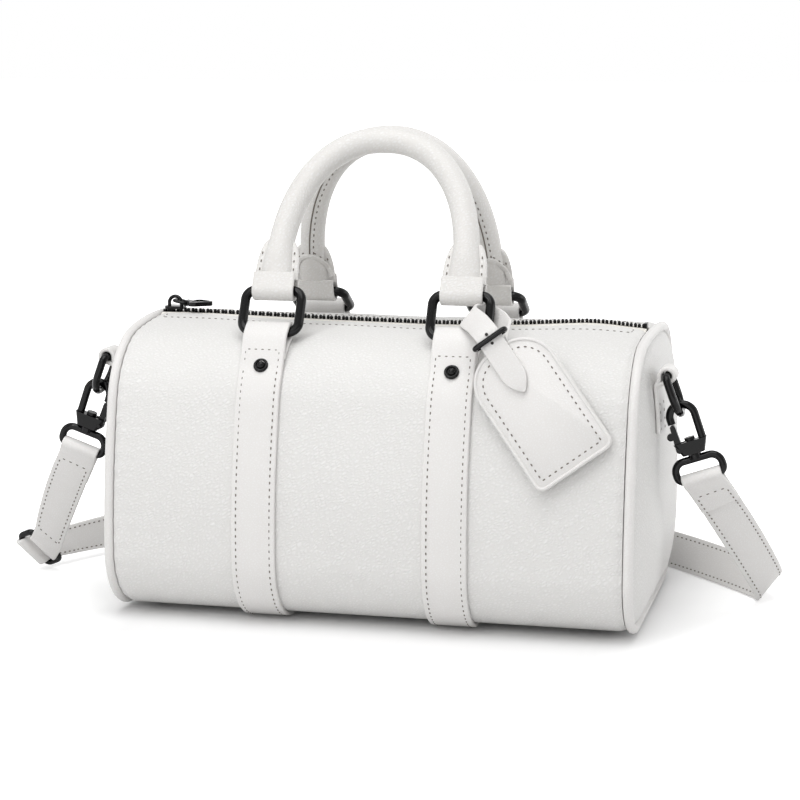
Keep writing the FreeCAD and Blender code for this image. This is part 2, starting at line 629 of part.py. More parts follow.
for label, end in (("left_body_strap", -1), ("right_body_strap", 1)):
    moved = looped.Shape.copy()
    moved.translate(Vector(strap_x(end), 0, 0))
    body_straps.append(join("Cut", label, plain(label + "_blank", moved), holes))

# The rivets: a rim, a low crown and a post set into the leather.
rivets = []
for face, out in rivet_places:
    clear = face + out * size("seam_gap")
    rim = Part.makeCylinder(size("rivet_radius"), size("rivet_rim"), clear, out)
    post = Part.makeCylinder(size("rivet_post"), rivet_depth + size("seam_gap"), face - out * rivet_depth,
                             out)
    rolled_edge = Part.makeTorus(size("rivet_radius") - size("rivet_rim"), size("rivet_rim"),
                                 clear + out * size("rivet_rim"), out)
    dome_low = clear + out * (size("rivet_rim") + size("rivet_crown") - size("rivet_dome"))
    cap = Part.makeSphere(size("rivet_dome"), dome_low).cut(rod(dome_low - out * size("rivet_dome"), out,
                                                                size("rivet_radius"), 2 * size("rivet_dome")))
    rivets.append(rim.fuse([post, rolled_edge, cap]).removeSplitter())
strap_rivets = plain("strap_rivets", Part.makeCompound(rivets))

# The rings: one at each end of each strap. The back pair leans further in.
rings = {}
ring_x, ring_z = "(ring_half - ring_bend)", "(ring_pitch - ring_bend)"
ring_corners = [("0 - " + ring_x, "ring_bend", "ring_bend"), (ring_x, "ring_bend", "ring_bend"),
                (ring_x, ring_z, "ring_bend"), ("0 - " + ring_x, ring_z, "ring_bend")]
faces = (("front", -1, ""), ("back", 1, "back_"))
ends = (("left", -1), ("right", 1))
for face_word, side, which in faces:
    for end_word, end in ends:
        ring = new_body(f"{face_word}_{end_word}_ring")
        wire_loop(ring, ring_corners, "ring_wire", "0 - " + ring_x, "0")
        spot = Vector(strap_x(end), side * size("pivot_y"), size("pivot_z"))
        ring.Placement = Placement(spot, Rotation(Vector(1, 0, 0), side * size(which + "ring_lean")))
        rings[face_word, end_word] = ring

# The handles: a rolled leather tube over a cord core, with a looped tab at each foot.
handles = []
for face_word, side, which in faces:
    spot = Vector(-size("strap_shift"), side * size(which + "upper_y"), size(which + "upper_z"))
    turn = Rotation(Vector(1, 0, 0), side * size(which + "handle_lean"))
    spring = "handle_rise - half_spacing"
    for name, radii in (("roll", ("handle_radius", "core_radius + seam_gap")), ("core", ("core_radius",))):
        item = new_body(f"{face_word}_handle_{name}")
        arch_wire(item, "half_spacing", "tab_height + seam_gap", "tab_height + seam_gap", spring, radii)
        item.Placement = Placement(spot, turn)
        handles.append(item)
    for end_word, end in ends:
        item = new_body(f"{face_word}_handle_{end_word}_tab")
        wide = new_sketch(item, "wide", "XY_Plane", "tab_low")
        belt(wide, four_corners("tab_width", "tab_depth", "strap_leather"))
        round_end = new_sketch(item, "round_end", "XY_Plane", "tab_height")
        belt(round_end, four_corners("2 * tab_neck", "2 * tab_neck", "(tab_neck - seam_gap)"))
        loft_between(item, "flare", wide, round_end)
        loop = new_sketch(item, "loop", "YZ_Plane")
        circle(loop, "0", "0", "loop_outer")
        pad(item, loop, "tab_width", True)
        bore = new_sketch(item, "bore", "YZ_Plane")
        circle(bore, "0", "0", "loop_inner")
        pocket(item, bore, "2 * tab_width")
        item.Placement = Placement(spot + Vector(end * size("half_spacing"), 0, 0), turn)
        handles.append(item)

# The end tabs: a stitched patch with a loop for the D ring, shaped to the domed panel.
end_pieces = []
patch_thickness = "(d_loop_outer + d_tab_cover)"
tab_y = "0 - d_forward"
patch_x = "d_x - d_loop_outer + d_tab_cover - " + patch_thickness + " / 2"
patch = block("tab_patch", patch_thickness, "d_tab_width", "d_tab_drop", patch_x, tab_y,
              "d_height - d_tab_drop / 2")
tab_loop = bar("tab_loop", "y", "d_loop_outer", "d_tab_width", "d_x", tab_y, "d_height")
solid_tab = join("MultiFuse", "tab_solid", patch, tab_loop)
fitted = join("Cut", "tab_fitted", solid_tab, plain("panel_clear", panel_clear))
tab_bore = bar("tab_bore", "y", "d_loop", "2 * d_tab_width", "d_x", tab_y, "d_height")
right_tab = join("Cut", "right_ring_tab", fitted, tab_bore)
doc.recompute()
left_tab = plain("left_ring_tab", right_tab.Shape.mirror(*mirror_x))
end_pieces += [left_tab, right_tab]

# The D rings, hooks and swivel eyes, one set at each end, drawn for the right and turned for the left.
d_x_half = "(d_half_width - d_bend)"
d_corners = [(d_x_half, "0 - d_bend", "d_bend"), ("0 - " + d_x_half, "0 - d_bend", "d_bend"),
             ("0", "d_half_width - d_drop", "d_half_width")]
nose_low, foot_up = "0 - bow_nose", "0 - foot_top"
pin_x = "0 - bow_radius"
tip_z = "0 - bow_nose - gate_gap - gate_tip"
for end_word, end in ends:
    outward = 0 if end > 0 else 180
    facing = Rotation(Vector(0, 0, 1), outward)
    d_ring = new_body(f"{end_word}_d_ring")
    wire_loop(d_ring, d_corners, "d_wire", d_x_half, "0")
    lean = Rotation(Vector(0, 1, 0), -size("d_lean"))
    quarter = Rotation(Vector(0, 0, 1), 90)
    d_spot = Vector(end * size("d_x"), -size("d_forward"), size("d_height"))
    d_ring.Placement = Placement(d_spot, facing * lean * quarter)

    hook = new_body(f"{end_word}_hook_body")
    arch_wire(hook, "bow_radius", foot_up, nose_low, "0", ("bow_wire",))
    foot_low_end = new_sketch(hook, "foot_low_end", "XY_Plane", "0 - foot_low")
    belt(foot_low_end, four_corners("foot_narrow", "foot_depth", "foot_corner"))
    foot_top_end = new_sketch(hook, "foot_top_end", "XY_Plane", "0 - foot_top")
    belt(foot_top_end, four_corners("foot_width", "foot_depth", "foot_corner"))
    loft_between(hook, "foot", foot_low_end, foot_top_end)
    stud_hole = new_sketch(hook, "stud_hole", "XY_Plane", "0 - foot_low")
    circle(stud_hole, "0", "0", "stud_radius + stud_fit")
    pocket(hook, stud_hole, "4 * foot_height")
    gate_slot = new_sketch(hook, "gate_slot", "XZ_Plane")
    belt(gate_slot,
         [("0 - foot_width", "pin_z - foot_height", "gate_slot"), (pin_x, "pin_z - foot_height", "gate_slot"),
                     (pin_x, "pin_z + foot_height", "gate_slot"),
                     ("0 - foot_width", "pin_z + foot_height", "gate_slot")])
    pocket(hook, gate_slot, "gate_thickness + 2 * gate_side_gap")
    pin_bore = new_sketch(hook, "pin_bore", "XZ_Plane")
    circle(pin_bore, pin_x, "pin_z", "gate_pin + gate_pin_fit")
    pocket(hook, pin_bore, "2 * foot_depth")

    gate = new_body(f"{end_word}_hook_gate")
    leaf = new_sketch(gate, "leaf", "XZ_Plane")
    belt(leaf, [(pin_x, "pin_z", "gate_round"), (pin_x, tip_z, "gate_tip")])
    pad(gate, leaf, "gate_thickness", True)
    lug = new_sketch(gate, "lug", "XZ_Plane")
    circle(lug, "0 - bow_radius - lug_out", tip_z + " - lug_drop", "lug_radius")
    pad(gate, lug, "gate_thickness", True)
    gate_hole = new_sketch(gate, "pin_hole", "XZ_Plane")
    circle(gate_hole, pin_x, "pin_z", "gate_pin + gate_pin_fit")
    pocket(gate, gate_hole, "2 * foot_depth")

    pin = new_body(f"{end_word}_gate_pin")
    pin_round = new_sketch(pin, "round", "XZ_Plane")
    circle(pin_round, pin_x, "pin_z", "gate_pin")
    pad(pin, pin_round, "foot_depth", True)

    eye = new_body(f"{end_word}_swivel_eye")
    eye_half = "(eye_half_width - eye_bend)"
    eye_shoulder = "(eye_half_width - eye_top_bend)"
    wire_loop(eye,
              [("0 - " + eye_half, "0 - eye_bar + eye_bend", "eye_bend"),
               (eye_half, "0 - eye_bar + eye_bend", "eye_bend"),
               (eye_shoulder, "0 - eye_top - eye_top_bend", "eye_top_bend"),
               ("0 - " + eye_shoulder, "0 - eye_top - eye_top_bend", "eye_top_bend")],
              "eye_wire", "0 - " + eye_half, "0 - eye_bar")
    disc(eye, "collar", "collar_radius", "0 - foot_low - gate_gap - collar_height", "collar_height")
    disc(eye, "stud", "stud_radius", "0 - foot_low - gate_gap", "foot_height + 2 * gate_gap")
    disc(eye, "head", "stud_head", "0 - foot_top + gate_gap", "stud_head_height")
    tilt = Rotation(Vector(0, 1, 0), -size("hook_lean"))
    for item in (hook, gate, pin, eye):
        hook_spot = Vector(end * size("hook_x"), -size("d_forward"), size("hook_z"))
        item.Placement = Placement(hook_spot, facing * tilt)
    end_pieces += [d_ring, hook, gate, pin, eye]

# The shoulder strap: it drops from each eye to a fold on the floor and bows out behind the bag.
band_half = size("band_width") / 2
floor = size("floor_gap")
upright = Vector(0, 0, size("band_width"))
tilted = Rotation(Vector(0, 1, 0), -size("hook_lean"))
hook_right = Vector(size("hook_x"), -size("d_forward"), size("hook_z"))
eye_right = hook_right + tilted.multVec(Vector(0, 0, -size("eye_bar")))
bar_right = tilted.multVec(Vector(1, 0, 0))
eye_left = Vector(-eye_right.x, eye_right.y, eye_right.z)
bar_left = Vector(-bar_right.x, 0, bar_right.z)
right_low = Vector(size("fold_right_x"), size("fold_right_y"), floor)
right_high = right_low + Vector(size("fold_lean_x"), size("fold_lean_y"), size("band_width"))
left_low = Vector(-size("fold_left_x"), size("fold_left_y"), size("adjuster_lift"))
left_lean = Vector(-size("fold_left_lean_x"), -size("fold_left_lean_y"), size("band_width"))
left_high = left_low + left_lean.normalize() * size("band_width")
plan = [left_low, Vector(-size("bow_left_x"), size("bow_left_y"), floor),
        Vector(size("bow_right_x"), size("bow_right_y"), floor), right_low]


def bow_point(share):
    rest = 1 - share
    weights = (rest ** 3, 3 * rest ** 2 * share, 3 * rest * share ** 2, share ** 3)
    point = Vector(0, 0, 0)
    for weight, corner in zip(weights, plan):
        point += corner * weight
    return point


# Each pair is the lower and the upper edge. The upper edge eases from the fold's lean to upright.
def bow_pair(share, ease):
    low = bow_point(share)
    fold = right_high - right_low if share > 1 - share else left_high - left_low
    return low, low + upright * ease + fold * (1 - ease)


right_drop = [(eye_right - bar_right * band_half, eye_right + bar_right * band_half)]
right_turn = (right_low, right_high)
drop_shares = (0.35, 0.7)
for share in drop_shares:
    pair = [start + (end - start) * share for start, end in zip(right_drop[0], right_turn)]
    right_drop.append(tuple(pair))
bow_shares = (0.04, 0.1, 0.18, 0.27, 0.36, 0.45, 0.54, 0.63, 0.72, 0.81, 0.89, 0.95)
behind = []
for share in bow_shares:
    from_fold = min(share, 1 - share)
    behind.append(bow_pair(share, min(1, from_fold / bow_shares[2])))
adjuster_line = (left_high - left_low).normalize()
long_bar = halfway(left_low, left_high)
to_eye = eye_left - long_bar
to_eye -= adjuster_line * to_eye.dot(adjuster_line)
short_bar = long_bar + to_eye.normalize() * size("adjuster_pitch")
adjuster_inner = size("adjuster_wire") + size("band_loop_clear")
eye_inner = size("eye_wire") + size("band_loop_clear")


def looped_band(pairs, start_inner, end_inner):
    shape = ribbon(pairs, size("band_leather"))
    bores = []
    for (low, high), inner in ((pairs[0], start_inner), (pairs[-1], end_inner)):
        middle = halfway(low, high)
        width = (high - low).Length
        outer = inner + size("band_leather")
        shape = shape.fuse(Part.makeCylinder(outer, width, low, high - low))
        bores.append(Part.makeCylinder(inner, 2 * width, middle - (high - low), high - low))
    return shape.cut(Part.makeCompound(bores))


long_pairs = [(left_low, left_high)] + behind + [right_turn] + right_drop[::-1]
strap_long = plain("strap_long", looped_band(long_pairs, adjuster_inner, eye_inner))
short_edge = adjuster_line * band_half
short_pairs = [(short_bar - short_edge, short_bar + short_edge)]
left_top = (eye_left - bar_left * band_half, eye_left + bar_left * band_half)
for share in drop_shares + (1,):
    pair = [start + (end - start) * share for start, end in zip(short_pairs[0], left_top)]
    short_pairs.append(tuple(pair))
strap_short = plain("strap_short", looped_band(short_pairs, adjuster_inner, eye_inner))

# The adjuster: a wire frame whose two long bars hold the two straps.
adjuster = new_body("strap_adjuster")
half_frame = "(adjuster_width / 2 - adjuster_bend)"
high_bar = "(adjuster_pitch - adjuster_bend)"
wire_loop(adjuster,
          [("0 - " + half_frame, "adjuster_bend", "adjuster_bend"),
           (half_frame, "adjuster_bend", "adjuster_bend"),
                     (half_frame, high_bar, "adjuster_bend"),
                     ("0 - " + half_frame, high_bar, "adjuster_bend")],
          "adjuster_wire", "0 - " + half_frame, "0")
frame_z = (short_bar - long_bar).normalize()
adjuster.Placement = Placement(long_bar,
                               Rotation(adjuster_line, frame_z.cross(adjuster_line), frame_z, "XZY"))

# The name tag: two stitched layers, a strap round the front right ring and a plain buckle.
tag_face = Vector(0, -math.cos(math.radians(size("tag_lean"))), math.sin(math.radians(size("tag_lean"))))
tag_up = Vector(0, tag_face.z, -tag_face.y)
side_bow = size("side_radius")
tag_rise = size("tag_z") - size("base_lift") - size("base_corner")
front_y = size("half_depth") - side_bow + math.sqrt(side_bow ** 2 - tag_rise ** 2)
tag_place = Vector(size("tag_x"), -front_y - size("tag_clear"), size("tag_z"))
tag_turn = Rotation(Vector(1, 0, 0), tag_up, tag_face, "ZXY") * Rotation(Vector(0, 0, 1), size("tag_tilt"))
shoulder_x, shoulder_y = "(tag_width / 2 - tag_shoulder)", "(tag_height / 2 - tag_shoulder)"
low_x, low_y = "(tag_width / 2 - tag_corner)", "(tag_height / 2 - tag_corner)"
tag_outline = [("0 - " + low_x, "0 - " + low_y, "tag_corner"), (low_x, "0 - " + low_y, "tag_corner"),
               (shoulder_x, shoulder_y, "tag_shoulder"), ("0 - " + shoulder_x, shoulder_y, "tag_shoulder")]
tags = []
for label, low in (("tag_back_layer", "0"), ("tag_front_layer", "tag_leather + tag_layer_gap")):
    layer = new_body(label)
    sketch = new_sketch(layer, "outline", "XY_Plane", low)
    belt(sketch, tag_outline)
    pad(layer, sketch, "tag_leather")
    layer.Placement = Placement(tag_place, tag_turn)
    tags.append(layer)


def on_tag(x, y, z):
    return tag_place + tag_turn.multVec(Vector(x, y, z))


ring_turn = rings["front", "right"].Placement
loop_middle = ring_turn.multVec(Vector(size("ring_half"), 0, size("ring_pitch") / 2))
loop_along = ring_turn.Rotation.multVec(Vector(0, 0, 1))
layers_top = 2 * size("tag_leather") + size("tag_layer_gap")
strap_level = layers_top + size("tag_strap_lift") + size("tag_strap_leather") / 2
tag_half = size("tag_strap_width") / 2
tip_y = size("tag_height") / 2 - size("tag_height") * size("tag_tip_share")
neck_y = size("tag_height") / 2 + size("tag_neck")
loop_half = loop_along * (size("tag_loop_width") / 2)
leave = loop_middle + Vector(0, -1, 0) * (size("loop_inner") + size("tag_strap_leather") / 2)
tag_pairs = [(leave - loop_half, leave + loop_half)]
for y in (neck_y, tip_y + size("tag_point"), tip_y):
    half = tag_half if y > tip_y else size("tag_strap_leather")
    tag_pairs.append((on_tag(-half, y, strap_level), on_tag(half, y, strap_level)))
tag_band = ribbon(tag_pairs, size("tag_strap_leather"))
sleeve_outer = size("loop_inner") + size("tag_strap_leather")
sleeve = rod(loop_middle, loop_along, sleeve_outer, size("tag_loop_width"))
bore = rod(loop_middle, loop_along, size("loop_inner"), 4 * size("tag_loop_width"))
tag_strap = plain("tag_strap", tag_band.fuse(sleeve).cut(bore).removeSplitter())

tag_buckle = new_body("tag_buckle")
buckle_x, buckle_z = "(buckle_half_width - buckle_bend)", "(2 * buckle_half_height - buckle_bend)"
wire_loop(tag_buckle,
          [("0 - " + buckle_x, "buckle_bend", "buckle_bend"), (buckle_x, "buckle_bend", "buckle_bend"),
                       (buckle_x, buckle_z, "buckle_bend"), ("0 - " + buckle_x, buckle_z, "buckle_bend")],
          "buckle_wire", "0 - " + buckle_x, "0")
buckle_spot = on_tag(0, size("tag_height") / 2 + size("buckle_set"), strap_level)
across_strap = (tag_pairs[1][1] - tag_pairs[1][0]).normalize()
down_strap = (halfway(*tag_pairs[2]) - halfway(*tag_pairs[1])).normalize()
off_strap = across_strap.cross(down_strap).normalize()
lift = size("tag_strap_leather") / 2 + size("buckle_wire") + size("tag_strap_lift")
tag_buckle.Placement = Placement(buckle_spot + off_strap * lift,
                                 Rotation(across_strap, off_strap.cross(across_strap), off_strap * -1, "XZY"))
tags += [tag_strap, tag_buckle]

doc.recompute()
nodes = [body_wrap, left_end_panel, right_end_panel, lining, base_board, zip_stops, strap_rivets, zip_slider,
         zip_link, zip_pull]
nodes += pipings + tapes + tooth_rows + body_straps + list(rings.values()) + handles + end_pieces
nodes += [strap_long, strap_short, adjuster] + tags
for item in doc.Objects:
    if "Invalid" in item.State or "Error" in item.State:
        raise RuntimeError(f"{item.Label} did not build")
os.makedirs("parts", exist_ok=True)
for item in nodes:
    if item.Shape.isNull() or not item.Shape.isValid():
        raise RuntimeError(f"{item.Label} is not a sound shape")
    item.Shape.exportStep(f"parts/{item.Label}.step")
    print(item.Label, len(item.Shape.Solids), round(item.Shape.Volume))
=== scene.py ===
import json
import math

import bmesh
import bpy
import numpy as np
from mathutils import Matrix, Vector


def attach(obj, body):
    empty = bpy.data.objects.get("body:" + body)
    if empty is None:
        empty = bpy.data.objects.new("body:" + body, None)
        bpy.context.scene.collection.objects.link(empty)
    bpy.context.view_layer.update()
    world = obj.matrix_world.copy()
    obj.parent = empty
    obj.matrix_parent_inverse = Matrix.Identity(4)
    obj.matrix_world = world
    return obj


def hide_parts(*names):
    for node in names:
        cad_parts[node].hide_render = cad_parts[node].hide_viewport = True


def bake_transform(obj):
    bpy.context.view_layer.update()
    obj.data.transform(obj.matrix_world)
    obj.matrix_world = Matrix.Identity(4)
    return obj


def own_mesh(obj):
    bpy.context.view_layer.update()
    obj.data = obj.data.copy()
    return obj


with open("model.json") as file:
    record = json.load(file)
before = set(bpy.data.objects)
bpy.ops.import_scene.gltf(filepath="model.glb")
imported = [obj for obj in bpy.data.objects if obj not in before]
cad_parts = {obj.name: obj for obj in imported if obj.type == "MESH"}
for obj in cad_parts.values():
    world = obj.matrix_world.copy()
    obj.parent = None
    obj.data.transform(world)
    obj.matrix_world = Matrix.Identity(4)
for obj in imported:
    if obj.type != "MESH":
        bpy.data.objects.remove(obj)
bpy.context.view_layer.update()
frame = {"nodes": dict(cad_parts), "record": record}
nodes = frame["nodes"]
mm = 0.001
sides = (-1, 1)
faceNames = {-1: "front", 1: "back"}
endNames = {-1: "left", 1: "right"}
xAxis = np.array([1.0, 0.0, 0.0])
white = (1, 1, 1, 1)
# How many points a line is drawn with.
shortPoints, curvePoints, longPoints = 20, 40, 260


# Screen colour to linear light: a channel is divided when dark and raised to a power otherwise.
def linearColor(code):
    parts = [int(code[start:start + 2], 16) / 255 for start in (1, 3, 5)]
    return tuple(p / 12.92 if p <= 0.04045 else ((p + 0.055) / 1.055) ** 2.4 for p in parts) + (1.0,)


# Adds one shader node with its settings, and its inputs as values or links.
def addNode(tree, kind, inputs=None, **settings):
    node = tree.nodes.new("ShaderNode" + kind)
    for name, value in settings.items():
        setattr(node, name, value)
    for name, value in (inputs or {}).items():
        if isinstance(value, bpy.types.NodeSocket):
            tree.links.new(value, node.inputs[name])
        else:
            node.inputs[name].default_value = value
    return node


# A material by its colour, its roughness and other sockets by name.
def newMaterial(name, color, roughness, **more):
    material = bpy.data.materials.new(name)
    material.use_nodes = True
    shader = material.node_tree.nodes["Principled BSDF"]
    shader.inputs["Base Color"].default_value = linearColor(color)
    shader.inputs["Roughness"].default_value = roughness
    for socket, value in more.items():
        shader.inputs[socket.replace("_", " ")].default_value = value
    return material, material.node_tree, shader


# What the leathers share. The noises follow the size of a cell.
grain = {"specular": 0.3, "slant": -38, "roundShare": 0.42, "wanderShare": 0.4, "wanderDetail": 2.0,
         "pushShare": 0.6, "poreShare": 3, "poreDetail": 3.0}


# Leather with slanted cells in millimetres: the height is the distance from a cell's edge, plus fine pores.
# Near the edges the colour is mixed toward a darker tint, which is painted shade in the creases.
def grainedLeather(name, look):
    material, tree, shader = newMaterial(name, look["color"], look["roughness"],
                                         Specular_IOR_Level=grain["specular"])
    cell = look["cell"] * mm
    turn = (0, math.radians(grain["slant"]), 0)
    place = addNode(tree, "TexCoord").outputs["Object"]
    place = addNode(tree, "Mapping", {"Vector": place, "Rotation": turn,
                                      "Scale": (look["stretch"], 1, 1)},
                    vector_type="TEXTURE").outputs["Vector"]
    wander = addNode(tree, "TexNoise", {"Vector": place, "Scale": grain["wanderShare"] / cell,
                                        "Detail": grain["wanderDetail"]})
    push = addNode(tree, "VectorMath", {0: wander.outputs["Color"],
                                        "Scale": grain["pushShare"] * cell}, operation="SCALE")
    spread = addNode(tree, "VectorMath", {0: place, 1: push.outputs["Vector"]}, operation="ADD")
    cells = addNode(tree, "TexVoronoi", {"Vector": spread.outputs["Vector"], "Scale": 1 / cell},
                    feature="DISTANCE_TO_EDGE")
    rounded = addNode(tree, "MapRange", {"Value": cells.outputs["Distance"], "From Min": 0.0,
                                         "From Max": grain["roundShare"]},
                      interpolation_type="SMOOTHERSTEP")
    pores = addNode(tree, "TexNoise", {"Vector": place, "Scale": grain["poreShare"] / cell,
                                       "Detail": grain["poreDetail"]})
    height = addNode(tree, "Math", {0: pores.outputs["Fac"], 1: look["pores"],
                                    2: rounded.outputs["Result"]}, operation="MULTIPLY_ADD")
    bump = addNode(tree, "Bump", {"Height": height.outputs["Value"], "Strength": look["strength"],
                                  "Distance": look["depth"] * mm})
    tree.links.new(bump.outputs["Normal"], shader.inputs["Normal"])
    # painted shade: the creases take the darker tint, the cell tops the hide's own colour
    paintedCreaseShade = addNode(tree, "Mix", {"Factor": rounded.outputs["Result"]}, data_type="RGBA")
    paintedCreaseShade.inputs["A"].default_value = linearColor(look["creaseShade"])
    paintedCreaseShade.inputs["B"].default_value = linearColor(look["color"])
    tree.links.new(paintedCreaseShade.outputs["Result"], shader.inputs["Base Color"])
    return material


# What the cloths share. One wave is two threads.
weave = {"specular": 0.2, "waveShare": 0.16, "strength": 0.4}


# Woven cloth: the higher of two crossed waves. The thread size is in millimetres.
def wovenCloth(name, look):
    material, tree, shader = newMaterial(name, look["color"], look["roughness"],
                                         Specular_IOR_Level=weave["specular"])
    thread = look["thread"] * mm
    place = addNode(tree, "TexCoord").outputs["Object"]
    waves = [addNode(tree, "TexWave", {"Vector": place, "Scale": weave["waveShare"] / thread},
                     bands_direction=axis).outputs["Fac"] for axis in ("X", "Y")]
    crossed = addNode(tree, "Math", {0: waves[0], 1: waves[1]}, operation="MAXIMUM")
    bump = addNode(tree, "Bump", {"Height": crossed.outputs["Value"],
                                  "Strength": weave["strength"], "Distance": thread})
    tree.links.new(bump.outputs["Normal"], shader.inputs["Normal"])
    return material


# Each leather's darker crease tint is painted shade in the creases of its grain.
# Pebbled cowhide on the body and the ends: off-white and matt, with slanting creases that soften the light.
pebbled = grainedLeather("pebbledLeather", {"color": "#dedddc", "creaseShade": "#d6d5d3", "roughness": 0.52,
                                            "cell": 1.4, "depth": 0.35, "strength": 0.5, "pores": 0.2,
                                            "stretch": 2})
# The same hide pressed smoother on straps, tag and piping: an even face with a soft sheen.
smooth = grainedLeather("smoothLeather", {"color": "#dddcdb", "creaseShade": "#d9d7d5", "roughness": 0.46,
                                          "cell": 1.1, "depth": 0.12, "strength": 0.35, "pores": 0.3,
                                          "stretch": 1.5})
# The hide on the handles, rolled tight over the filler, with a sheen along the arch. It is the same hide
# drawn a shade darker: painted shade on the handles.
shadedHandleLeather = grainedLeather("handleLeatherPaintedShade", {"color": "#dad9d8", "creaseShade": "#d3d1ce", "roughness": 0.44,
                                          "cell": 1.5, "depth": 0.2, "strength": 0.5, "pores": 0.3,
                                          "stretch": 1.8})
# Cotton lining cloth: dull beige. Its threads are drawn coarser than real ones so that they show.
liningCloth = wovenCloth("liningCloth", {"color": "#cfc7ba", "roughness": 0.9, "thread": 0.5})
# Polyester zip tape: paler than the lining and as dull, with threads drawn coarser for the same reason.
zipCloth = wovenCloth("zipTape", {"color": "#e4e1da", "roughness": 0.85, "thread": 0.4})
# Grey pressed fibre board: flat and dull.
boardFibre = newMaterial("boardFibre", "#8a8580", 0.8)[0]
# Undyed filler cord: dull cream.
fillerCord = newMaterial("fillerCord", "#d8d2c4", 0.9)[0]
# Black plating over zinc: almost black, with small sharp lights on its edges.
blackPlating = newMaterial("blackPlating", "#050506", 0.12, Specular_IOR_Level=0.2)[0]
# Waxed sewing thread, drawn dark grey though the thread itself is paler: the dark is painted shade of the
# stitch holes. Dull dashes that stand out from the pale hide.
shadedThread = newMaterial("shadedThread", "#69635c", 0.7)[0]
# Painted shade inside a punched hole: a dark, dull disc with no shine where the hole is.
holeShade = newMaterial("holeShade", "#2b2927", 0.9)[0]
slotLooks = {"white_leather": smooth, "lining_cloth": liningCloth, "zip_tape": zipCloth,
             "base_board": boardFibre, "handle_cord": fillerCord, "black_metal": blackPlating}


# Each vector divided by its length.
def unit(vectors):
    return vectors / np.linalg.norm(vectors, axis=-1, keepdims=True)


# From 0 at low to 1 at high: three times the share squared, less twice its cube.
def smoothStep(value, low, high):
    share = np.clip((value - low) / (high - low), 0, 1)
    return share * share * (3 - 2 * share)


# The distance along a path at each of its points: the sum of the steps before it.
def pathRun(points):
    return np.concatenate([[0], np.cumsum(np.linalg.norm(np.diff(points, axis=0), axis=1))])


# Values read at given distances along their run, on straight lines between them.
def readAt(values, run, at):
    return np.stack([np.interp(at, run, column) for column in values.T], 1)


# The same path with points an even step apart.
def evenPath(points, step):
    run = pathRun(points)
    return readAt(points, run, np.linspace(0, run[-1], max(2, int(round(run[-1] / step)) + 1)))


# A softer path: each pass moves every point halfway to the middle between its neighbours.
def easedPath(points, passes):
    for _ in range(passes):
        points = np.concatenate([points[:1], (points[:-2] + 2 * points[1:-1] + points[2:]) / 4, points[-1:]])
    return points


# A place in a tilted frame: its origin plus each measure times its direction.
def placeOn(axes, *measures):
    origin, *directions = axes
    return origin + sum(np.asarray(measure, float)[..., None] * direction
                        for measure, direction in zip(np.broadcast_arrays(*measures), directions))


# The corners of every cell in a grid. A closed direction runs on to its first line.
def gridFaces(rows, columns, rowsClosed=False, columnsClosed=False):
    row, column = np.meshgrid(np.arange(rows if rowsClosed else rows - 1),
                              np.arange(columns if columnsClosed else columns - 1), indexing="ij")
    nextRow, nextColumn = (row + 1) % rows, (column + 1) % columns
    corners = [row * columns + column, row * columns + nextColumn, nextRow * columns + nextColumn,
               nextRow * columns + column]
    return np.stack(corners, -1).reshape(-1, 4)


# The faces of a tube of rings, with one flat face over each end.
def tubeFaces(rows, columns):
    caps = [list(range(columns)), list(range((rows - 1) * columns, rows * columns))]
    return gridFaces(rows, columns, False, True).tolist() + caps


# Degrees above which an edge is sharp, and the distance in metres below which points are one.
sharp = {"soft": 50, "tag": 60, "hard": 35}
mergeGap = 1e-6


# Makes one mesh piece that rides on a body. Points are in millimetres.
def addPiece(name, points, faces, body, material, slot="white_leather", sharpAngle=sharp["soft"]):
    mesh = bpy.data.meshes.new(name)
    mesh.from_pydata((np.asarray(points) * mm).tolist(), [], faces)
    work = bmesh.new()
    work.from_mesh(mesh)
    bmesh.ops.remove_doubles(work, verts=work.verts, dist=mergeGap)
    bmesh.ops.recalc_face_normals(work, faces=work.faces)
    work.to_mesh(mesh)
    work.free()
    mesh.shade_smooth()
    mesh.set_sharp_from_angle(angle=math.radians(sharpAngle))
    mesh.materials.append(material)
    piece = bpy.data.objects.new(name, mesh)
    bpy.context.scene.collection.objects.link(piece)
    if body:
        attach(piece, body)
    return piece


# A sheet as a solid: outer grid, inner grid turned round and rim. A closed one has its rim in the first row.
def shellMesh(outer, inner, closed=False):
    rows, columns = outer.shape[:2]
    grid = gridFaces(rows, columns, False, closed)
    total = rows * columns
    index = np.arange(total).reshape(rows, columns)
    around = [index[0, :-1], index[:-1, -1], index[-1, :0:-1], index[:0:-1, 0]]
    rim = index[0] if closed else np.concatenate(around)
    ahead = np.roll(rim, -1)
    edge = np.stack([rim, ahead, ahead + total, rim + total], -1)
    points = np.concatenate([outer.reshape(-1, 3), inner.reshape(-1, 3)])
    return points, np.concatenate([grid, grid[:, ::-1] + total, edge]).tolist()


# The direction square to a grid: the cross product of its two steps.
def gridNormals(grid):
    return unit(np.cross(np.gradient(grid, axis=0), np.gradient(grid, axis=1)))


# A section along a path, row by row: the path's point plus its width across and its height outwards.
def sweepMesh(path, across, face, section, closed=False):
    section = np.broadcast_to(section, (len(path),) + section.shape[-2:])
    across, face = (np.broadcast_to(direction, path.shape) for direction in (across, face))
    points = path[:, None] + across[:, None] * section[..., :1] + face[:, None] * section[..., 1:]
    rows, columns = section.shape[:2]
    faces = gridFaces(rows, columns, True, True).tolist() if closed else tubeFaces(rows, columns)
    return points.reshape(-1, 3), faces


# The directions across a path, made square to it, and out of its face, square to both.
def pathFrames(path, across):
    along = unit(np.gradient(path, axis=0))
    across = np.broadcast_to(across, path.shape)
    across = unit(across - along * np.sum(across * along, 1, keepdims=True))
    return across, np.cross(along, across)


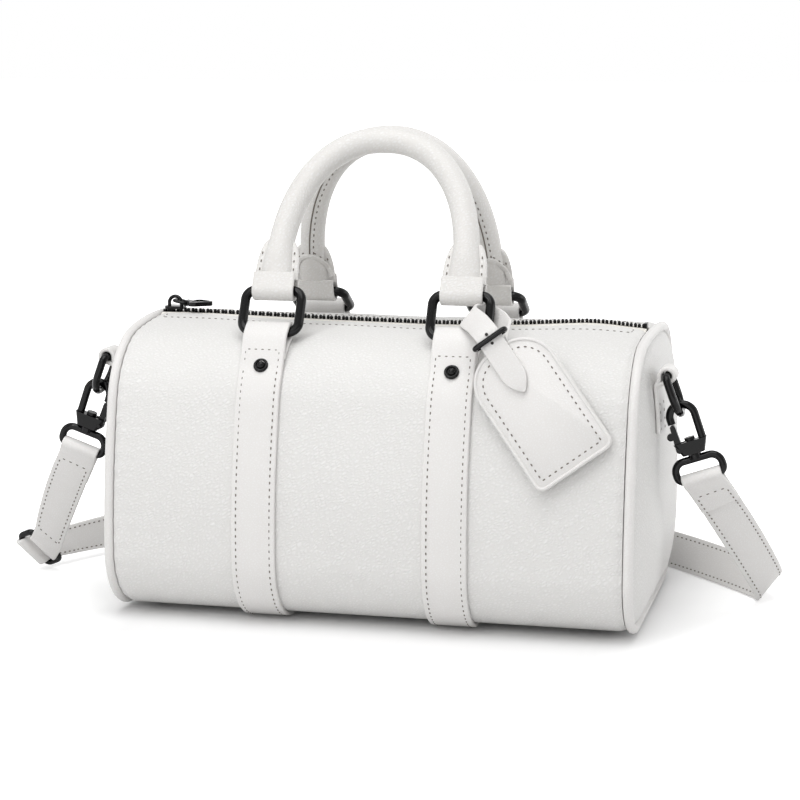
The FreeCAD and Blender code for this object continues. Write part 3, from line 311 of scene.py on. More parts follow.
# A circle of points: cosine and sine times the radius.
def roundSection(radius, count=18):
    turn = np.linspace(0, 2 * np.pi, count, endpoint=False)
    return radius * np.stack([np.cos(turn), np.sin(turn)], 1)


# Rings along a line: each girth times a circle, with its place along the line before it.
def ringStack(along, girth, count):
    rings = np.asarray(girth)[:, None, None] * roundSection(1, count)
    return np.concatenate([np.repeat(along, count)[:, None], rings.reshape(-1, 2)], 1)


# A rectangle with round corners: four quarter circles, set in by their radii.
def cornerSection(width, height, radii, steps, inset=0):
    corners = []
    for quarter, (right, up, radius) in enumerate(zip((1, -1, -1, 1), (1, 1, -1, -1), radii)):
        angle = np.linspace(0, np.pi / 2, steps) + quarter * np.pi / 2
        corners.append(np.stack([right * (width / 2 - radius) + (radius - inset) * np.cos(angle),
                                 up * (height / 2 - radius) + (radius - inset) * np.sin(angle)], 1))
    return np.concatenate(corners)


# The section of a band: a rectangle with four equal corners.
def bandSection(width, thickness, corner, steps=4):
    return cornerSection(width, thickness, [corner] * 4, steps)


# A band of leather along a path, with the width, thickness and corner of its own dictionary.
def addBand(name, path, frames, look, body, material):
    section = bandSection(look["width"], look["leather"], look["corner"])
    return addPiece(name, *sweepMesh(path, *frames, section), body, material)


# Sewn rows are gathered for each body and made into one piece at the end.
stitch = {"pitch": 3.6, "length": 1.5, "width": 0.75, "height": 0.5, "sides": 6,
          "alongShares": (-1, -0.75, 0, 0.75, 1), "girthShares": (0.3, 0.85, 1, 0.85, 0.3)}
sewnRows = {}


# Even stitches along a path: as many as fit whole, each in the middle of its share.
def sewRow(body, path, outward):
    run = pathRun(path)
    count = max(1, int(run[-1] / stitch["pitch"]))
    at = (np.arange(count) + 0.5) * run[-1] / count
    outward = np.broadcast_to(outward, path.shape)
    middle, along, up = (readAt(values, run, at) for values in (path, np.gradient(path, axis=0), outward))
    sewnRows.setdefault(body, []).append((middle, unit(along), unit(up)))


# One thread, in rings that are thinner at both ends, set at every stitch.
def sewAll():
    template = ringStack(stitch["alongShares"], stitch["girthShares"], stitch["sides"])
    template = template * np.array([stitch["length"], stitch["width"], stitch["height"]]) / 2
    faces = tubeFaces(len(stitch["girthShares"]), stitch["sides"])
    for body, rows in sewnRows.items():
        middle, along, up = (np.concatenate(values) for values in zip(*rows))
        aside = unit(np.cross(up, along))
        up = np.cross(along, aside)
        points = (middle[:, None] + along[:, None] * template[:, :1] + aside[:, None] * template[:, 1:2]
                  + up[:, None] * template[:, 2:])
        every = [[corner + number * len(template) for corner in face]
                 for number in range(len(middle)) for face in faces]
        addPiece(body + "_stitches", points.reshape(-1, 3), every, body, shadedThread, None)


# The end outline of the body: base, corner, side, shoulder and crown as arcs that meet smoothly.
bag = {"halfSeam": 140, "wrapHalf": 137.0, "halfDepth": 88, "baseLift": 2.65, "top": 157.15,
       "baseCorner": 34, "sideRadius": 360.05, "sideLean": 13.3, "shoulderY": 34.55, "shoulderZ": 109.127,
       "shoulderRound": 45, "crownRadius": 243.965, "crownLean": 10, "mouthHalf": 8, "leather": 2.2,
       "heart": 79.9, "columns": 131, "rows": 281, "crowdShare": 0.12, "flatSteps": 40, "arcSteps": 200}
heart = np.array([0, bag["heart"]])
flatHalf = bag["halfDepth"] - bag["baseCorner"]
cornerZ = bag["baseLift"] + bag["baseCorner"]
crownStart = 90 - bag["crownLean"]
outlineArcs = [(flatHalf, cornerZ, bag["baseCorner"], -90, 0),
               (bag["halfDepth"] - bag["sideRadius"], cornerZ, bag["sideRadius"], 0, bag["sideLean"]),
               (bag["shoulderY"], bag["shoulderZ"], bag["shoulderRound"], bag["sideLean"], crownStart),
               (0, bag["top"] - bag["crownRadius"], bag["crownRadius"], crownStart, 90)]
tableY = [np.linspace(0, flatHalf, bag["flatSteps"])]
tableZ = [np.full(bag["flatSteps"], bag["baseLift"])]
tableAngle = [np.full(bag["flatSteps"], -90.0)]
for centreY, centreZ, radius, begin, end in outlineArcs:
    turn = np.linspace(begin, end, bag["arcSteps"])[1:]
    tableY.append(centreY + radius * np.cos(np.radians(turn)))
    tableZ.append(centreZ + radius * np.sin(np.radians(turn)))
    tableAngle.append(turn)
tableY, tableZ, tableAngle = (np.concatenate(part) for part in (tableY, tableZ, tableAngle))
tableRun = pathRun(np.stack([tableY, tableZ], 1))
halfRun = tableRun[-1]
mouthRun = halfRun - bag["mouthHalf"]


# The distance along the outline to an angle, read from the table past the base.
def runAt(angle):
    past = bag["flatSteps"] - 1
    return np.interp(angle, tableAngle[past:], tableRun[past:])


sideRun, shoulderRun, crownRun = (runAt(angle) for angle in (0, bag["sideLean"], crownStart))


# A place on the outline and its outward direction, by the distance from the base's middle, negative in front.
def outlineAt(run):
    side = np.where(run < 0, -1.0, 1.0)
    away = np.abs(run)
    angle = np.radians(np.interp(away, tableRun, tableAngle))
    place = np.stack([side * np.interp(away, tableRun, tableY), np.interp(away, tableRun, tableZ)], -1)
    return place, np.stack([side * np.cos(angle), np.sin(angle)], -1)


# How the zip line rises and sinks: place along the bag and height, in millimetres.
zipLine = {-140: -0.3, -125: 0, -40: -2.0, 20: -2.9, 66: -1.9, 108: 1.0, 119: 0.4, 128: -1.6, 140: -1.8}
zipLineSteps, zipLinePasses = 281, 160
lineX = np.linspace(-bag["halfSeam"], bag["halfSeam"], zipLineSteps)
lineZ = np.interp(lineX, list(zipLine), list(zipLine.values()))
lineZ = easedPath(lineZ[:, None], zipLinePasses)[:, 0]
# How the hide fills out, waves and puckers, in millimetres and radians.
soft = {"fullness": 1.6, "fullBelow": 20, "fullAbove": 4, "sagReach": 12, "slowWave": 0.3, "slowLong": 21,
        "slowRound": 27, "slowShifts": (0.8, 0.5), "fastWave": 0.2, "fastLong": 13, "fastRound": 17,
        "seamDip": 1.2, "seamWidth": 2.0, "pucker": 0.25, "puckerPitch": 9, "driftTurn": 2, "driftLong": 37,
        "puckerReach": 6, "calmBelow": 60, "liveAbove": 100}


# The height of the zip line, read between its points.
def zipSag(x):
    return np.interp(x, lineX, lineZ)


# The zip line's height, eased in from the crown to the mouth.
def mouthSag(x, run):
    return zipSag(x) * smoothStep(np.abs(run), crownRun - soft["sagReach"], mouthRun)


# How far the hide stands off: a full side, the mouth's sag, two waves, fading puckers and a dip at the seam.
def softShape(x, run):
    away = np.abs(run)
    low, high = sideRun - soft["fullBelow"], shoulderRun + soft["fullAbove"]
    middle = np.clip((away - low) / (high - low), 0, 1)
    full = soft["fullness"] * (1 - (x / bag["halfSeam"]) ** 2) * np.sin(np.pi * middle) ** 2
    shiftLong, shiftRound = soft["slowShifts"]
    slow = np.sin(x / soft["slowLong"] + shiftLong) * np.sin(run / soft["slowRound"] + shiftRound)
    fast = np.sin(x / soft["fastLong"] - run / soft["fastRound"])
    fromSeam = bag["wrapHalf"] - np.abs(x)
    dip = -soft["seamDip"] * np.exp(-(fromSeam / soft["seamWidth"]) ** 2)
    drift = soft["driftTurn"] * np.sin(run / soft["driftLong"])
    pucker = np.sin(2 * np.pi * run / soft["puckerPitch"] + drift)
    pucker = soft["pucker"] * pucker * np.exp(-np.abs(fromSeam) / soft["puckerReach"])
    moving = soft["slowWave"] * slow + soft["fastWave"] * fast + pucker
    return full + mouthSag(x, run) + moving * smoothStep(away, soft["calmBelow"], soft["liveAbove"]) + dip


# A place on the body and its outward direction: the outline moved out by the lift and the soft shape.
def bodyPoint(x, run, lift):
    x, run = np.broadcast_arrays(np.asarray(x, float), np.asarray(run, float))
    place, out = outlineAt(run)
    place = place + out * (lift + softShape(x, run))[..., None]
    return np.concatenate([x[..., None], place], -1), np.concatenate([0 * x[..., None], out], -1)


# The wrap: one hide from one mouth edge round the base to the other.
share = np.linspace(-1, 1, bag["columns"])
wrapX = bag["wrapHalf"] * (share + bag["crowdShare"] * np.sin(np.pi * share))
wrapRun = np.linspace(-mouthRun, mouthRun, bag["rows"])
gridX, gridRun = np.meshgrid(wrapX, wrapRun)
outer = bodyPoint(gridX, gridRun, 0)[0]
inner = bodyPoint(gridX, gridRun, -bag["leather"])[0]
wrap = addPiece("bodyWrap", *shellMesh(outer, inner), "bag", pebbled)
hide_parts("body_wrap")
# The sewn hem beside the zip, turned in at both ends.
hem = {"fromMiddle": 20.5, "halfLength": 131, "lift": 0.1, "turnEnd": 11, "points": 200}
for side in sides:
    hemX = np.linspace(-hem["halfLength"], hem["halfLength"], hem["points"])
    sewRow("bag", *bodyPoint(hemX, side * (halfRun - hem["fromMiddle"]), hem["lift"]))
    hemRun = halfRun - np.linspace(hem["fromMiddle"], hem["turnEnd"], shortPoints)
    for end in sides:
        sewRow("bag", *bodyPoint(end * hem["halfLength"], side * hemRun, hem["lift"]))
print("body wrap done")

# The lining: a cloth box inside the wrap, with a wider mouth. Its ends close in to a small share.
lining = {"inset": 3.4, "halfLength": 134, "mouth": 15, "cloth": 0.6, "closeShare": 0.05, "capRings": 9,
          "rows": 120}
capShare = np.linspace(lining["closeShare"], 1, lining["capRings"])
capX, spanX = np.ones(lining["capRings"]), np.linspace(-1, 1, curvePoints)[1:-1]
liningX = np.concatenate([-capX, spanX, capX])
liningScale = np.concatenate([capShare, np.ones(len(spanX)), capShare[::-1]])
liningRun = np.linspace(lining["mouth"] - halfRun, halfRun - lining["mouth"], lining["rows"])
place, out = outlineAt(liningRun)
place = place - out * lining["inset"] - heart
grid = np.zeros((len(liningRun), len(liningX), 3))
grid[..., 0] = liningX * lining["halfLength"]
grid[..., 1:] = place[:, None] * liningScale[:, None] + heart
liningPiece = addPiece("lining", *shellMesh(grid, grid - gridNormals(grid) * lining["cloth"]), "bag",
                       liningCloth, "lining_cloth")
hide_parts("lining")

# The piping in each end seam, and the domed end panels inside it.
ends = {"pipingRadius": 2.6, "pipingInset": 1.7, "panelInset": 3.6, "bulge": 12.4, "leather": 2.0,
        "steepness": 2.5, "roundness": 0.52, "seat": 1.4, "loopSteps": 361, "rimRings": 26, "rimShare": 0.4,
        "rimCrowding": 1.7, "heartRings": 16}
loopRun = np.linspace(-halfRun, halfRun, ends["loopSteps"])[:-1]
loopPlace, loopOut = outlineAt(loopRun)
panelLoop = loopPlace - loopOut * ends["panelInset"] - heart
loopAngle = np.unwrap(np.arctan2(panelLoop[:, 1], panelLoop[:, 0]))
order = np.argsort(loopAngle)
loopReach = np.hypot(*panelLoop.T)


# The dome's height: the bulge times one less a power of the share to the rim, to a power, less the seat.
def domeRise(scale):
    return ends["bulge"] * (1 - np.clip(scale, 0, 1) ** ends["steepness"]) ** ends["roundness"] - ends["seat"]


# How far the end panel stands out: the dome's height at the place's share of the reach.
def panelX(y, z):
    away = np.hypot(y, z - bag["heart"])
    angle = np.arctan2(z - bag["heart"], y)
    low = loopAngle[order][0]
    angle = low + (angle - low) % (2 * np.pi)
    reach = np.interp(angle, loopAngle[order], loopReach[order], period=2 * np.pi)
    return bag["halfSeam"] + domeRise(away / reach)


inward = np.linspace(0, 1, ends["rimRings"])[:-1] ** ends["rimCrowding"] * ends["rimShare"]
domeScale = np.concatenate([1 - inward, np.linspace(1 - ends["rimShare"], 0, ends["heartRings"])])
for end in sides:
    name = endNames[end]
    sag = mouthSag(end * bag["halfSeam"], loopRun)
    seat = loopPlace + loopOut * (sag - ends["pipingInset"])[:, None]
    path = np.concatenate([np.full((len(seat), 1), float(end * bag["halfSeam"])), seat], 1)
    face = np.concatenate([np.zeros((len(seat), 1)), loopOut], 1)
    section = roundSection(ends["pipingRadius"])
    piping = addPiece(f"{name}Piping", *sweepMesh(path, xAxis, face, section, True), "bag", smooth)
    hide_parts(f"{name}_piping")
    dome = np.zeros((len(domeScale), len(panelLoop), 3))
    dome[..., 0] = end * (bag["halfSeam"] + domeRise(domeScale)[:, None])
    dome[..., 1:] = panelLoop * domeScale[:, None, None] + heart
    inner = dome - end * ends["leather"] * xAxis
    panel = addPiece(f"{name}EndPanel", *shellMesh(dome, inner, True), "bag", pebbled)
    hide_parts(f"{name}_end_panel")
print("ends done")

# The zip: two tapes and two rows of beads that follow the mouth. The teeth are drawn coarser so they show.
zipper = {"tapeOuter": 16, "tapeInner": 1.6, "tapeTop": 157.05, "tapeDrop": 2.4, "cloth": 0.8,
          "stepInner": 4.5, "stepOuter": 8, "slope": 0.6, "tapeColumns": 140, "tapeRows": 14,
          "start": -131.4, "end": 137.6, "pitch": 4.4, "toothLength": 1.8, "toothReach": 2.8,
          "toothOffset": 0.55, "toothHeight": 2.8, "toothLift": 1.0, "staggerShare": 0.25, "beadRings": 7,
          "beadSides": 10, "beadPower": 2.4, "spread": 10, "keep": 0.3}
tapeX = np.linspace(-bag["wrapHalf"], bag["wrapHalf"], zipper["tapeColumns"])
tapeY = np.linspace(zipper["tapeInner"], zipper["tapeOuter"], zipper["tapeRows"])
rise = np.linspace(-1, 1, zipper["beadRings"])
bead = ringStack(rise, np.sqrt(1 - np.abs(rise) ** zipper["beadPower"]), zipper["beadSides"])
bead = bead * np.array([zipper["toothHeight"], zipper["toothLength"], zipper["toothReach"]]) / 2
bead = np.roll(bead, -1, 1)
beadFaces = gridFaces(zipper["beadRings"], zipper["beadSides"], False, True)
toothCount = int((zipper["end"] - zipper["start"]) / zipper["pitch"])
for side in sides:
    gridX, gridY = np.meshgrid(tapeX, tapeY)
    drop = zipper["tapeDrop"] * smoothStep(gridY, zipper["stepInner"], zipper["stepOuter"])
    drop = drop + zipper["slope"] * smoothStep(gridY, zipper["stepOuter"], zipper["tapeOuter"])
    top = np.stack([gridX, side * gridY, zipper["tapeTop"] - drop + zipSag(gridX)], -1)
    tape = addPiece(f"{faceNames[side]}ZipTape", *shellMesh(top, top - np.array([0, 0, zipper["cloth"]])),
                    "bag", zipCloth, "zip_tape")
    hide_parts(f"{faceNames[side]}_zip_tape")
    stagger = zipper["staggerShare"] * (1 + side)
    toothX = zipper["start"] + zipper["pitch"] * (np.arange(toothCount) + stagger)
    spot = np.stack([toothX, np.full(toothCount, side * zipper["toothOffset"]),
                     zipper["tapeTop"] + zipper["toothLift"] + zipSag(toothX)], 1)
    points = (spot[:, None] + bead).reshape(-1, 3)
    every = (beadFaces + np.arange(toothCount)[:, None, None] * len(bead)).reshape(-1, 4)
    teeth = addPiece(f"{faceNames[side]}ZipTeeth", points, every.tolist(), "bag", blackPlating, "black_metal")
    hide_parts(f"{faceNames[side]}_zip_teeth")
    for piece in (tape, teeth):
        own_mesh(piece)
print("zip done")

# The two straps round the body, folded round their rings. Angles are those of the shoulder's arc.
strap = {"width": 24, "leather": 2.5, "gap": 0.15, "shift": 6.5, "halfSpacing": 51.5, "corner": 0.9,
         "pivotAngle": 64, "pivotReach": 50.75, "loopRadius": 4.5, "loopAngles": (-35, 180),
         "returnAngles": (61, 44), "liftAngles": (38, 44, 50, 57), "lifts": (0, 1.7, 4.2, 7.6),
         "sewn": 9.2, "crossAngle": 47.5, "sewPoints": 160, "step": 1.2, "passes": 4, "nudge": 1e-6}
strapLevel = strap["gap"] + strap["leather"] / 2


# The distance along the outline to an angle of the shoulder: its start plus the arc so far.
def strapRun(angle):
    return shoulderRun + bag["shoulderRound"] * np.radians(angle - bag["sideLean"])


# The strap's middle above the hide. It rises over the folded end on its way to the loop.
def strapLift(run):
    angle = bag["sideLean"] + np.degrees((np.abs(run) - shoulderRun) / bag["shoulderRound"])
    return strapLevel + np.interp(angle, strap["liftAngles"], strap["lifts"])


# Half a strap from the middle of the base: up the body, round the ring's bar and back under itself.
def strapHalf(x, side):
    run = np.linspace(0, strapRun(strap["liftAngles"][-1]), longPoints) * side
    # the nudge keeps the first point on its own side
    up = bodyPoint(x, run + side * strap["nudge"], strapLift(run))[0]
    centre = np.array([side * bag["shoulderY"], bag["shoulderZ"]])
    angle = math.radians(strap["pivotAngle"])
    radial = np.array([side * math.cos(angle), math.sin(angle)])
    onward = np.array([-side * math.sin(angle), math.cos(angle)])
    turn = np.radians(np.linspace(*strap["loopAngles"], curvePoints))[:, None]
    loop = (centre + radial * strap["pivotReach"]
            + strap["loopRadius"] * (np.cos(turn) * radial + np.sin(turn) * onward))
    under = strapRun(np.linspace(*strap["returnAngles"], shortPoints))
    return np.concatenate([up[:, 1:], loop, bodyPoint(x, side * under, strapLevel)[0][:, 1:]])


for end in sides:
    x = end * strap["halfSpacing"] - strap["shift"]
    flat = np.concatenate([strapHalf(x, -1)[::-1], strapHalf(x, 1)[1:]])
    flat = easedPath(evenPath(flat, strap["step"]), strap["passes"])
    path = np.concatenate([np.full((len(flat), 1), x), flat], 1)
    piece = addBand(f"{endNames[end]}BodyStrap", path, pathFrames(path, xAxis), strap, "bag", smooth)
    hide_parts(f"{endNames[end]}_body_strap")
    for side in sides:
        run = side * np.linspace(flatHalf, strapRun(strap["crossAngle"]), strap["sewPoints"])
        lift = strapLift(run) + strap["leather"] / 2
        for offset in (-strap["sewn"], strap["sewn"]):
            sewRow("bag", *bodyPoint(x + offset, run, lift))
        crossX = np.linspace(x - strap["sewn"], x + strap["sewn"], shortPoints)
        sewRow("bag", *bodyPoint(crossX, run[-1], lift[-1]))
print("body straps done")

# The rolled handles: a tube that widens into flat ears at each foot, held by a loop round the ring.
handle = {"radius": 7, "rollLow": 6.8, "rollFull": 22, "archLow": 14, "squareness": 2.2, "footHalf": 8.8,
          "footDepth": 4.7, "broadLow": 10, "broadTop": 30, "archPoints": 120, "legPoints": 9, "step": 1.4,
          "passes": 4, "sides": 28}
handleSeats = {-1: {"y": 46.083, "z": 175.769, "lean": 26.186, "rise": 88},
               1: {"y": 36.359, "z": 166.541, "lean": 19.317, "rise": 94}}
rollSeam = {"lift": 0.05, "radius": 0.4, "sides": 8, "cross": 20, "heart": 30, "sewAside": 2.2,
            "sewSink": 0.35, "sewTilt": 0.3}
ears = {"low": 6.0, "top": 29, "half": 12.0, "thick": 1.6, "roundFrom": 10, "tuck": 1, "edgePower": 8,
        "rows": 30, "columns": 31, "sewGap": 0.6, "sewTop": 23, "sewAside": 1.2, "sewTaper": 0.05,
        "sewLift": 0.1, "sewPoints": 14}
ringLoop = {"radius": 4.5, "width": 23, "leather": 2.2, "corner": 0.8, "top": 8.6, "legPoints": 8,
            "turnPoints": 50, "step": 0.6}
flap = {"top": 25, "low": 10.5, "inset": 1, "outPower": 0.8, "overRoll": 0.4, "overEar": 0.5, "gap": 0.1,
        "thick": 1.2, "width": 2.6, "corner": 0.5, "passes": 6, "sewLift": 0.5, "sewRise": 2.4,
        "sewTrim": 4}


# Half the roll's depth: the foot's, eased to the full radius above it.
def rollDepth(height):
    full = smoothStep(height, handle["rollLow"], handle["rollFull"])
    return handle["footDepth"] + (handle["radius"] - handle["footDepth"]) * full


# The roll on two legs: an arch of cosine and sine to a power, flat at its foot, with a seam inside.
def addRoll(label, body, axes, top):
    foot, _, front, rise = axes
    power = 2 / handle["squareness"]
    turn = np.linspace(np.pi, 0, handle["archPoints"])
    leg = np.linspace(handle["rollLow"], handle["archLow"], handle["legPoints"], endpoint=False)
    legSide = np.ones(len(leg))
    bend = np.sign(np.cos(turn)) * np.abs(np.cos(turn)) ** power
    climb = (top - handle["archLow"]) * np.abs(np.sin(turn)) ** power
    aside = np.concatenate([-legSide, bend, legSide]) * strap["halfSpacing"]
    level = np.concatenate([leg, handle["archLow"] + climb, leg[::-1]])
    path = easedPath(evenPath(placeOn(axes, aside, 0, level), handle["step"]), handle["passes"])
    across, face = pathFrames(path, front)
    height = (path - foot) @ rise
    thin = rollDepth(height) / handle["radius"]
    narrowing = 1 - smoothStep(height, handle["broadLow"], handle["broadTop"])
    broad = 1 + (handle["footHalf"] / handle["radius"] - 1) * narrowing
    section = roundSection(handle["radius"], handle["sides"])[None] * np.stack([thin, broad], 1)[:, None]
    # the roll, ears, loops and flaps all take the darker handle leather, which is painted shade
    roll = addPiece(label + "HandleRoll", *sweepMesh(path, across, face, section), body, shadedHandleLeather)
    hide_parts(body + "_roll", body + "_core")
    shown = height > flap["top"]
    path, across, face = path[shown], across[shown], face[shown]
    seam = path - front * (handle["radius"] + rollSeam["lift"])
    fromHeart = path - foot - rollSeam["heart"] * rise
    outside = face * np.sign(np.sum(face * fromHeart, 1, keepdims=True))
    lead = 2 * smoothStep((path - foot)[:, :1], -rollSeam["cross"], rollSeam["cross"]) - 1
    sewRow(body, seam + outside * lead * rollSeam["sewAside"] + front * rollSeam["sewSink"],
           outside * lead * rollSeam["sewTilt"] - front)
    section = roundSection(rollSeam["radius"], rollSeam["sides"])
    # the seam line is drawn in the same dark thread colour, painted shade along the seam
    addPiece(label + "HandleSeam", *sweepMesh(seam, across, face, section), body, shadedThread, None)


# The ears: flat wings whose half width follows a quarter ellipse, and that thin out at the edge.
def addEars(label, body, axes, middle):
    up = np.linspace(ears["low"], ears["top"], ears["rows"])
    climb = np.clip((up - ears["roundFrom"]) / (ears["top"] - ears["roundFrom"]), 0, 1)
    inner = handle["radius"] - ears["tuck"]
    half = inner + (ears["half"] - inner) * np.sqrt(1 - climb ** 2)
    share = np.sin(np.linspace(-np.pi / 2, np.pi / 2, ears["columns"]))
    wide = half[:, None] * share
    depth = ears["thick"] * np.sqrt(np.clip(1 - np.abs(share) ** ears["edgePower"], 0, 1)) + 0 * wide
    ring = np.concatenate([np.stack([wide, depth], -1), np.stack([wide, -depth], -1)[:, -2:0:-1]], 1)
    points = placeOn(axes, middle + ring[..., 0], ring[..., 1], up[:, None])
    addPiece(label + "Ears", points.reshape(-1, 3), tubeFaces(*ring.shape[:2]), body, shadedHandleLeather)
    sewUp = np.linspace(ringLoop["top"] + ears["sewGap"], ears["sewTop"], ears["sewPoints"])
    out = handle["footHalf"] + ears["sewAside"] - ears["sewTaper"] * sewUp
    for facing in sides:
        for aside in sides:
            row = placeOn(axes, middle + aside * out, facing * (ears["thick"] + ears["sewLift"]), sewUp)
            sewRow(body, row, facing * axes[2])


# The loop round the ring: two legs and a half circle under the bar.
def addRingLoop(label, body, axes, end):
    turn = np.radians(np.linspace(0, -180, ringLoop["turnPoints"]))
    leg = np.linspace(ringLoop["top"], 0, ringLoop["legPoints"], endpoint=False)
    legSide = np.ones(len(leg))
    depth = ringLoop["radius"] * np.concatenate([legSide, np.cos(turn), -legSide])
    level = np.concatenate([leg, ringLoop["radius"] * np.sin(turn), leg[::-1]])
    path = evenPath(placeOn(axes, end * strap["halfSpacing"], depth, level), ringLoop["step"])
    loop = addBand(label + "Loop", path, pathFrames(path, xAxis), ringLoop, body, shadedHandleLeather)
    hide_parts(f"{body}_{endNames[end]}_tab")


# A flap that closes over the roll: it falls with the square of its share, clear of the roll and the ear.
def addFlap(label, body, axes, middle, aside):
    share = np.linspace(0, 1, curvePoints)
    out = aside * (ears["half"] - flap["inset"]) * share ** flap["outPower"]
    up = flap["top"] - (flap["top"] - flap["low"]) * share ** 2
    depth = np.sqrt(np.clip(1 - (out / (handle["footHalf"] + flap["overRoll"])) ** 2, 0, 1))
    depth = np.maximum(ears["thick"] + flap["overEar"], (rollDepth(up) + flap["gap"]) * depth)
    path = easedPath(placeOn(axes, middle + out, -depth, up), flap["passes"])
    section = bandSection(flap["thick"], flap["width"], flap["corner"])
    addPiece(f"{label}Flap{endNames[aside].title()}", *sweepMesh(path, *pathFrames(path, -axes[2]), section),
             body, shadedHandleLeather)
    row = placeOn(axes, middle + out, -depth - flap["sewLift"], up + flap["sewRise"])
    sewRow(body, easedPath(row, flap["passes"])[flap["sewTrim"]:-flap["sewTrim"]], -axes[2])


for side in sides:
    body = f"{faceNames[side]}_handle"
    seat = handleSeats[side]
    lean = math.radians(seat["lean"])
    axes = (np.array([-strap["shift"], side * seat["y"], seat["z"]]), xAxis,
            np.array([0, side * math.cos(lean), math.sin(lean)]),
            np.array([0, -side * math.sin(lean), math.cos(lean)]))
    addRoll(faceNames[side], body, axes, seat["rise"])
    for end in sides:
        label = f"{faceNames[side]}{endNames[end].title()}Handle"
        middle = end * strap["halfSpacing"]
        addEars(label, body, axes, middle)
        addRingLoop(label, body, axes, end)
        for aside in sides:
            addFlap(label, body, axes, middle, aside)
print("handles done")

# The end tabs: a band round the D ring's bar, sewn to the end panel below it.
tab = {"x": 153.5, "y": -43, "z": 137, "drop": 30, "rise": 5, "width": 14, "leather": 2.2, "corner": 0.8,
       "loopRadius": 4.0, "loopAngles": (-30, 210), "gap": 0.2, "slopeReach": 3.0, "squareLow": 14,
       "squareTop": 4, "sewn": 4.6, "sewTilt": 0.15, "levels": 14, "tuckFrom": 10, "sewTrim": 4,
       "step": 0.7, "passes": 5}


# How the end panel leans across a tab: its change between two places beside the middle.
def panelSlope(z):
    ahead, behind = (panelX(tab["y"] + side * tab["slopeReach"], z) for side in (1, -1))
    return (ahead - behind) / (2 * tab["slopeReach"])


for end in sides:
    levels = np.linspace(tab["z"] - tab["drop"], tab["z"] - tab["rise"], tab["levels"])
    under = panelX(tab["y"], levels) + tab["leather"] / 2
    turn = np.radians(np.linspace(*tab["loopAngles"], curvePoints))
    tucked = slice(None, tab["tuckFrom"], -1)
    reach = np.concatenate([under + tab["gap"], tab["x"] + tab["loopRadius"] * np.cos(turn), under[tucked]])
    height = np.concatenate([levels, tab["z"] + tab["loopRadius"] * np.sin(turn), levels[tucked]])
    path = np.stack([end * reach, np.full(len(reach), float(tab["y"])), height], 1)
    path = easedPath(evenPath(path, tab["step"]), tab["passes"])
    # the band lies along the dome below and turns square to the ring's bar above
    square = smoothStep(path[:, 2], tab["z"] - tab["squareLow"], tab["z"] - tab["squareTop"])
    slope = panelSlope(path[:, 2]) * (1 - square)
    across = np.stack([end * slope, np.ones(len(path)), np.zeros(len(path))], 1)
    piece = addBand(f"{endNames[end]}RingTab", path, pathFrames(path, across), tab, "bag", smooth)
    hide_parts(f"{endNames[end]}_ring_tab")
    out = np.array([float(end), 0, tab["sewTilt"]])
    low = levels[:-tab["sewTrim"]]
    for offset in (-tab["sewn"], tab["sewn"]):
        lift = panelX(tab["y"], low) + tab["leather"] + tab["gap"] + offset * panelSlope(low)
        sewRow("bag", np.stack([end * lift, np.full(len(low), tab["y"] + offset), low], 1), out)
print("end tabs done")

# The shoulder strap: it drops from each eye to a fold on the floor and bows out behind the bag.
band = {"width": 21.5, "leather": 2.2, "corner": 0.8, "eye": (172.224, -43, 83.748), "hookLean": 19,
        "eyeRadius": 3.6, "adjusterRadius": 3.4, "rightLow": (199, 31, -1.6), "rightLean": (14, 5, 19),
        "leftLow": (-218, 9, 6), "leftLean": (-12, -14, 19), "bow": ((-127, 203, 0.8), (22, 264, 0.8)),
        "turnShare": 0.2, "adjusterPitch": 10, "barHalf": 9.5, "tail": 26, "tailEase": (-4, 6),
        "layerGap": 0.05, "loopAngles": (125, 235), "sewn": 8.2, "sewStart": 5, "belly": 1.2,
        "bellyOut": (1, -0.6, 0.5), "floorGap": 0.6, "step": 1.0, "passes": 100, "stripStep": 0.9,
        "stripPasses": 4, "loopPoints": 30, "crossPoints": 12, "bowPoints": 80}
eyes, eyeBars = {}, {}
for end in sides:
    eyes[end] = np.array(band["eye"]) * np.array([end, 1, 1])
    lean = math.radians(band["hookLean"])
    eyeBars[end] = np.array([end * math.cos(lean), 0, math.sin(lean)])
rightLow, leftLow = np.array(band["rightLow"], float), np.array(band["leftLow"], float)
rightAcross, leftAcross = (unit(np.array(band[key], float)) for key in ("rightLean", "leftLean"))
longBar = leftLow + leftAcross * band["barHalf"]
toEye = eyes[-1] - longBar
toEye = toEye - leftAcross * np.dot(toEye, leftAcross)
shortBar = longBar + unit(toEye) * band["adjusterPitch"]
bandRadii = (band["adjusterRadius"], band["eyeRadius"])


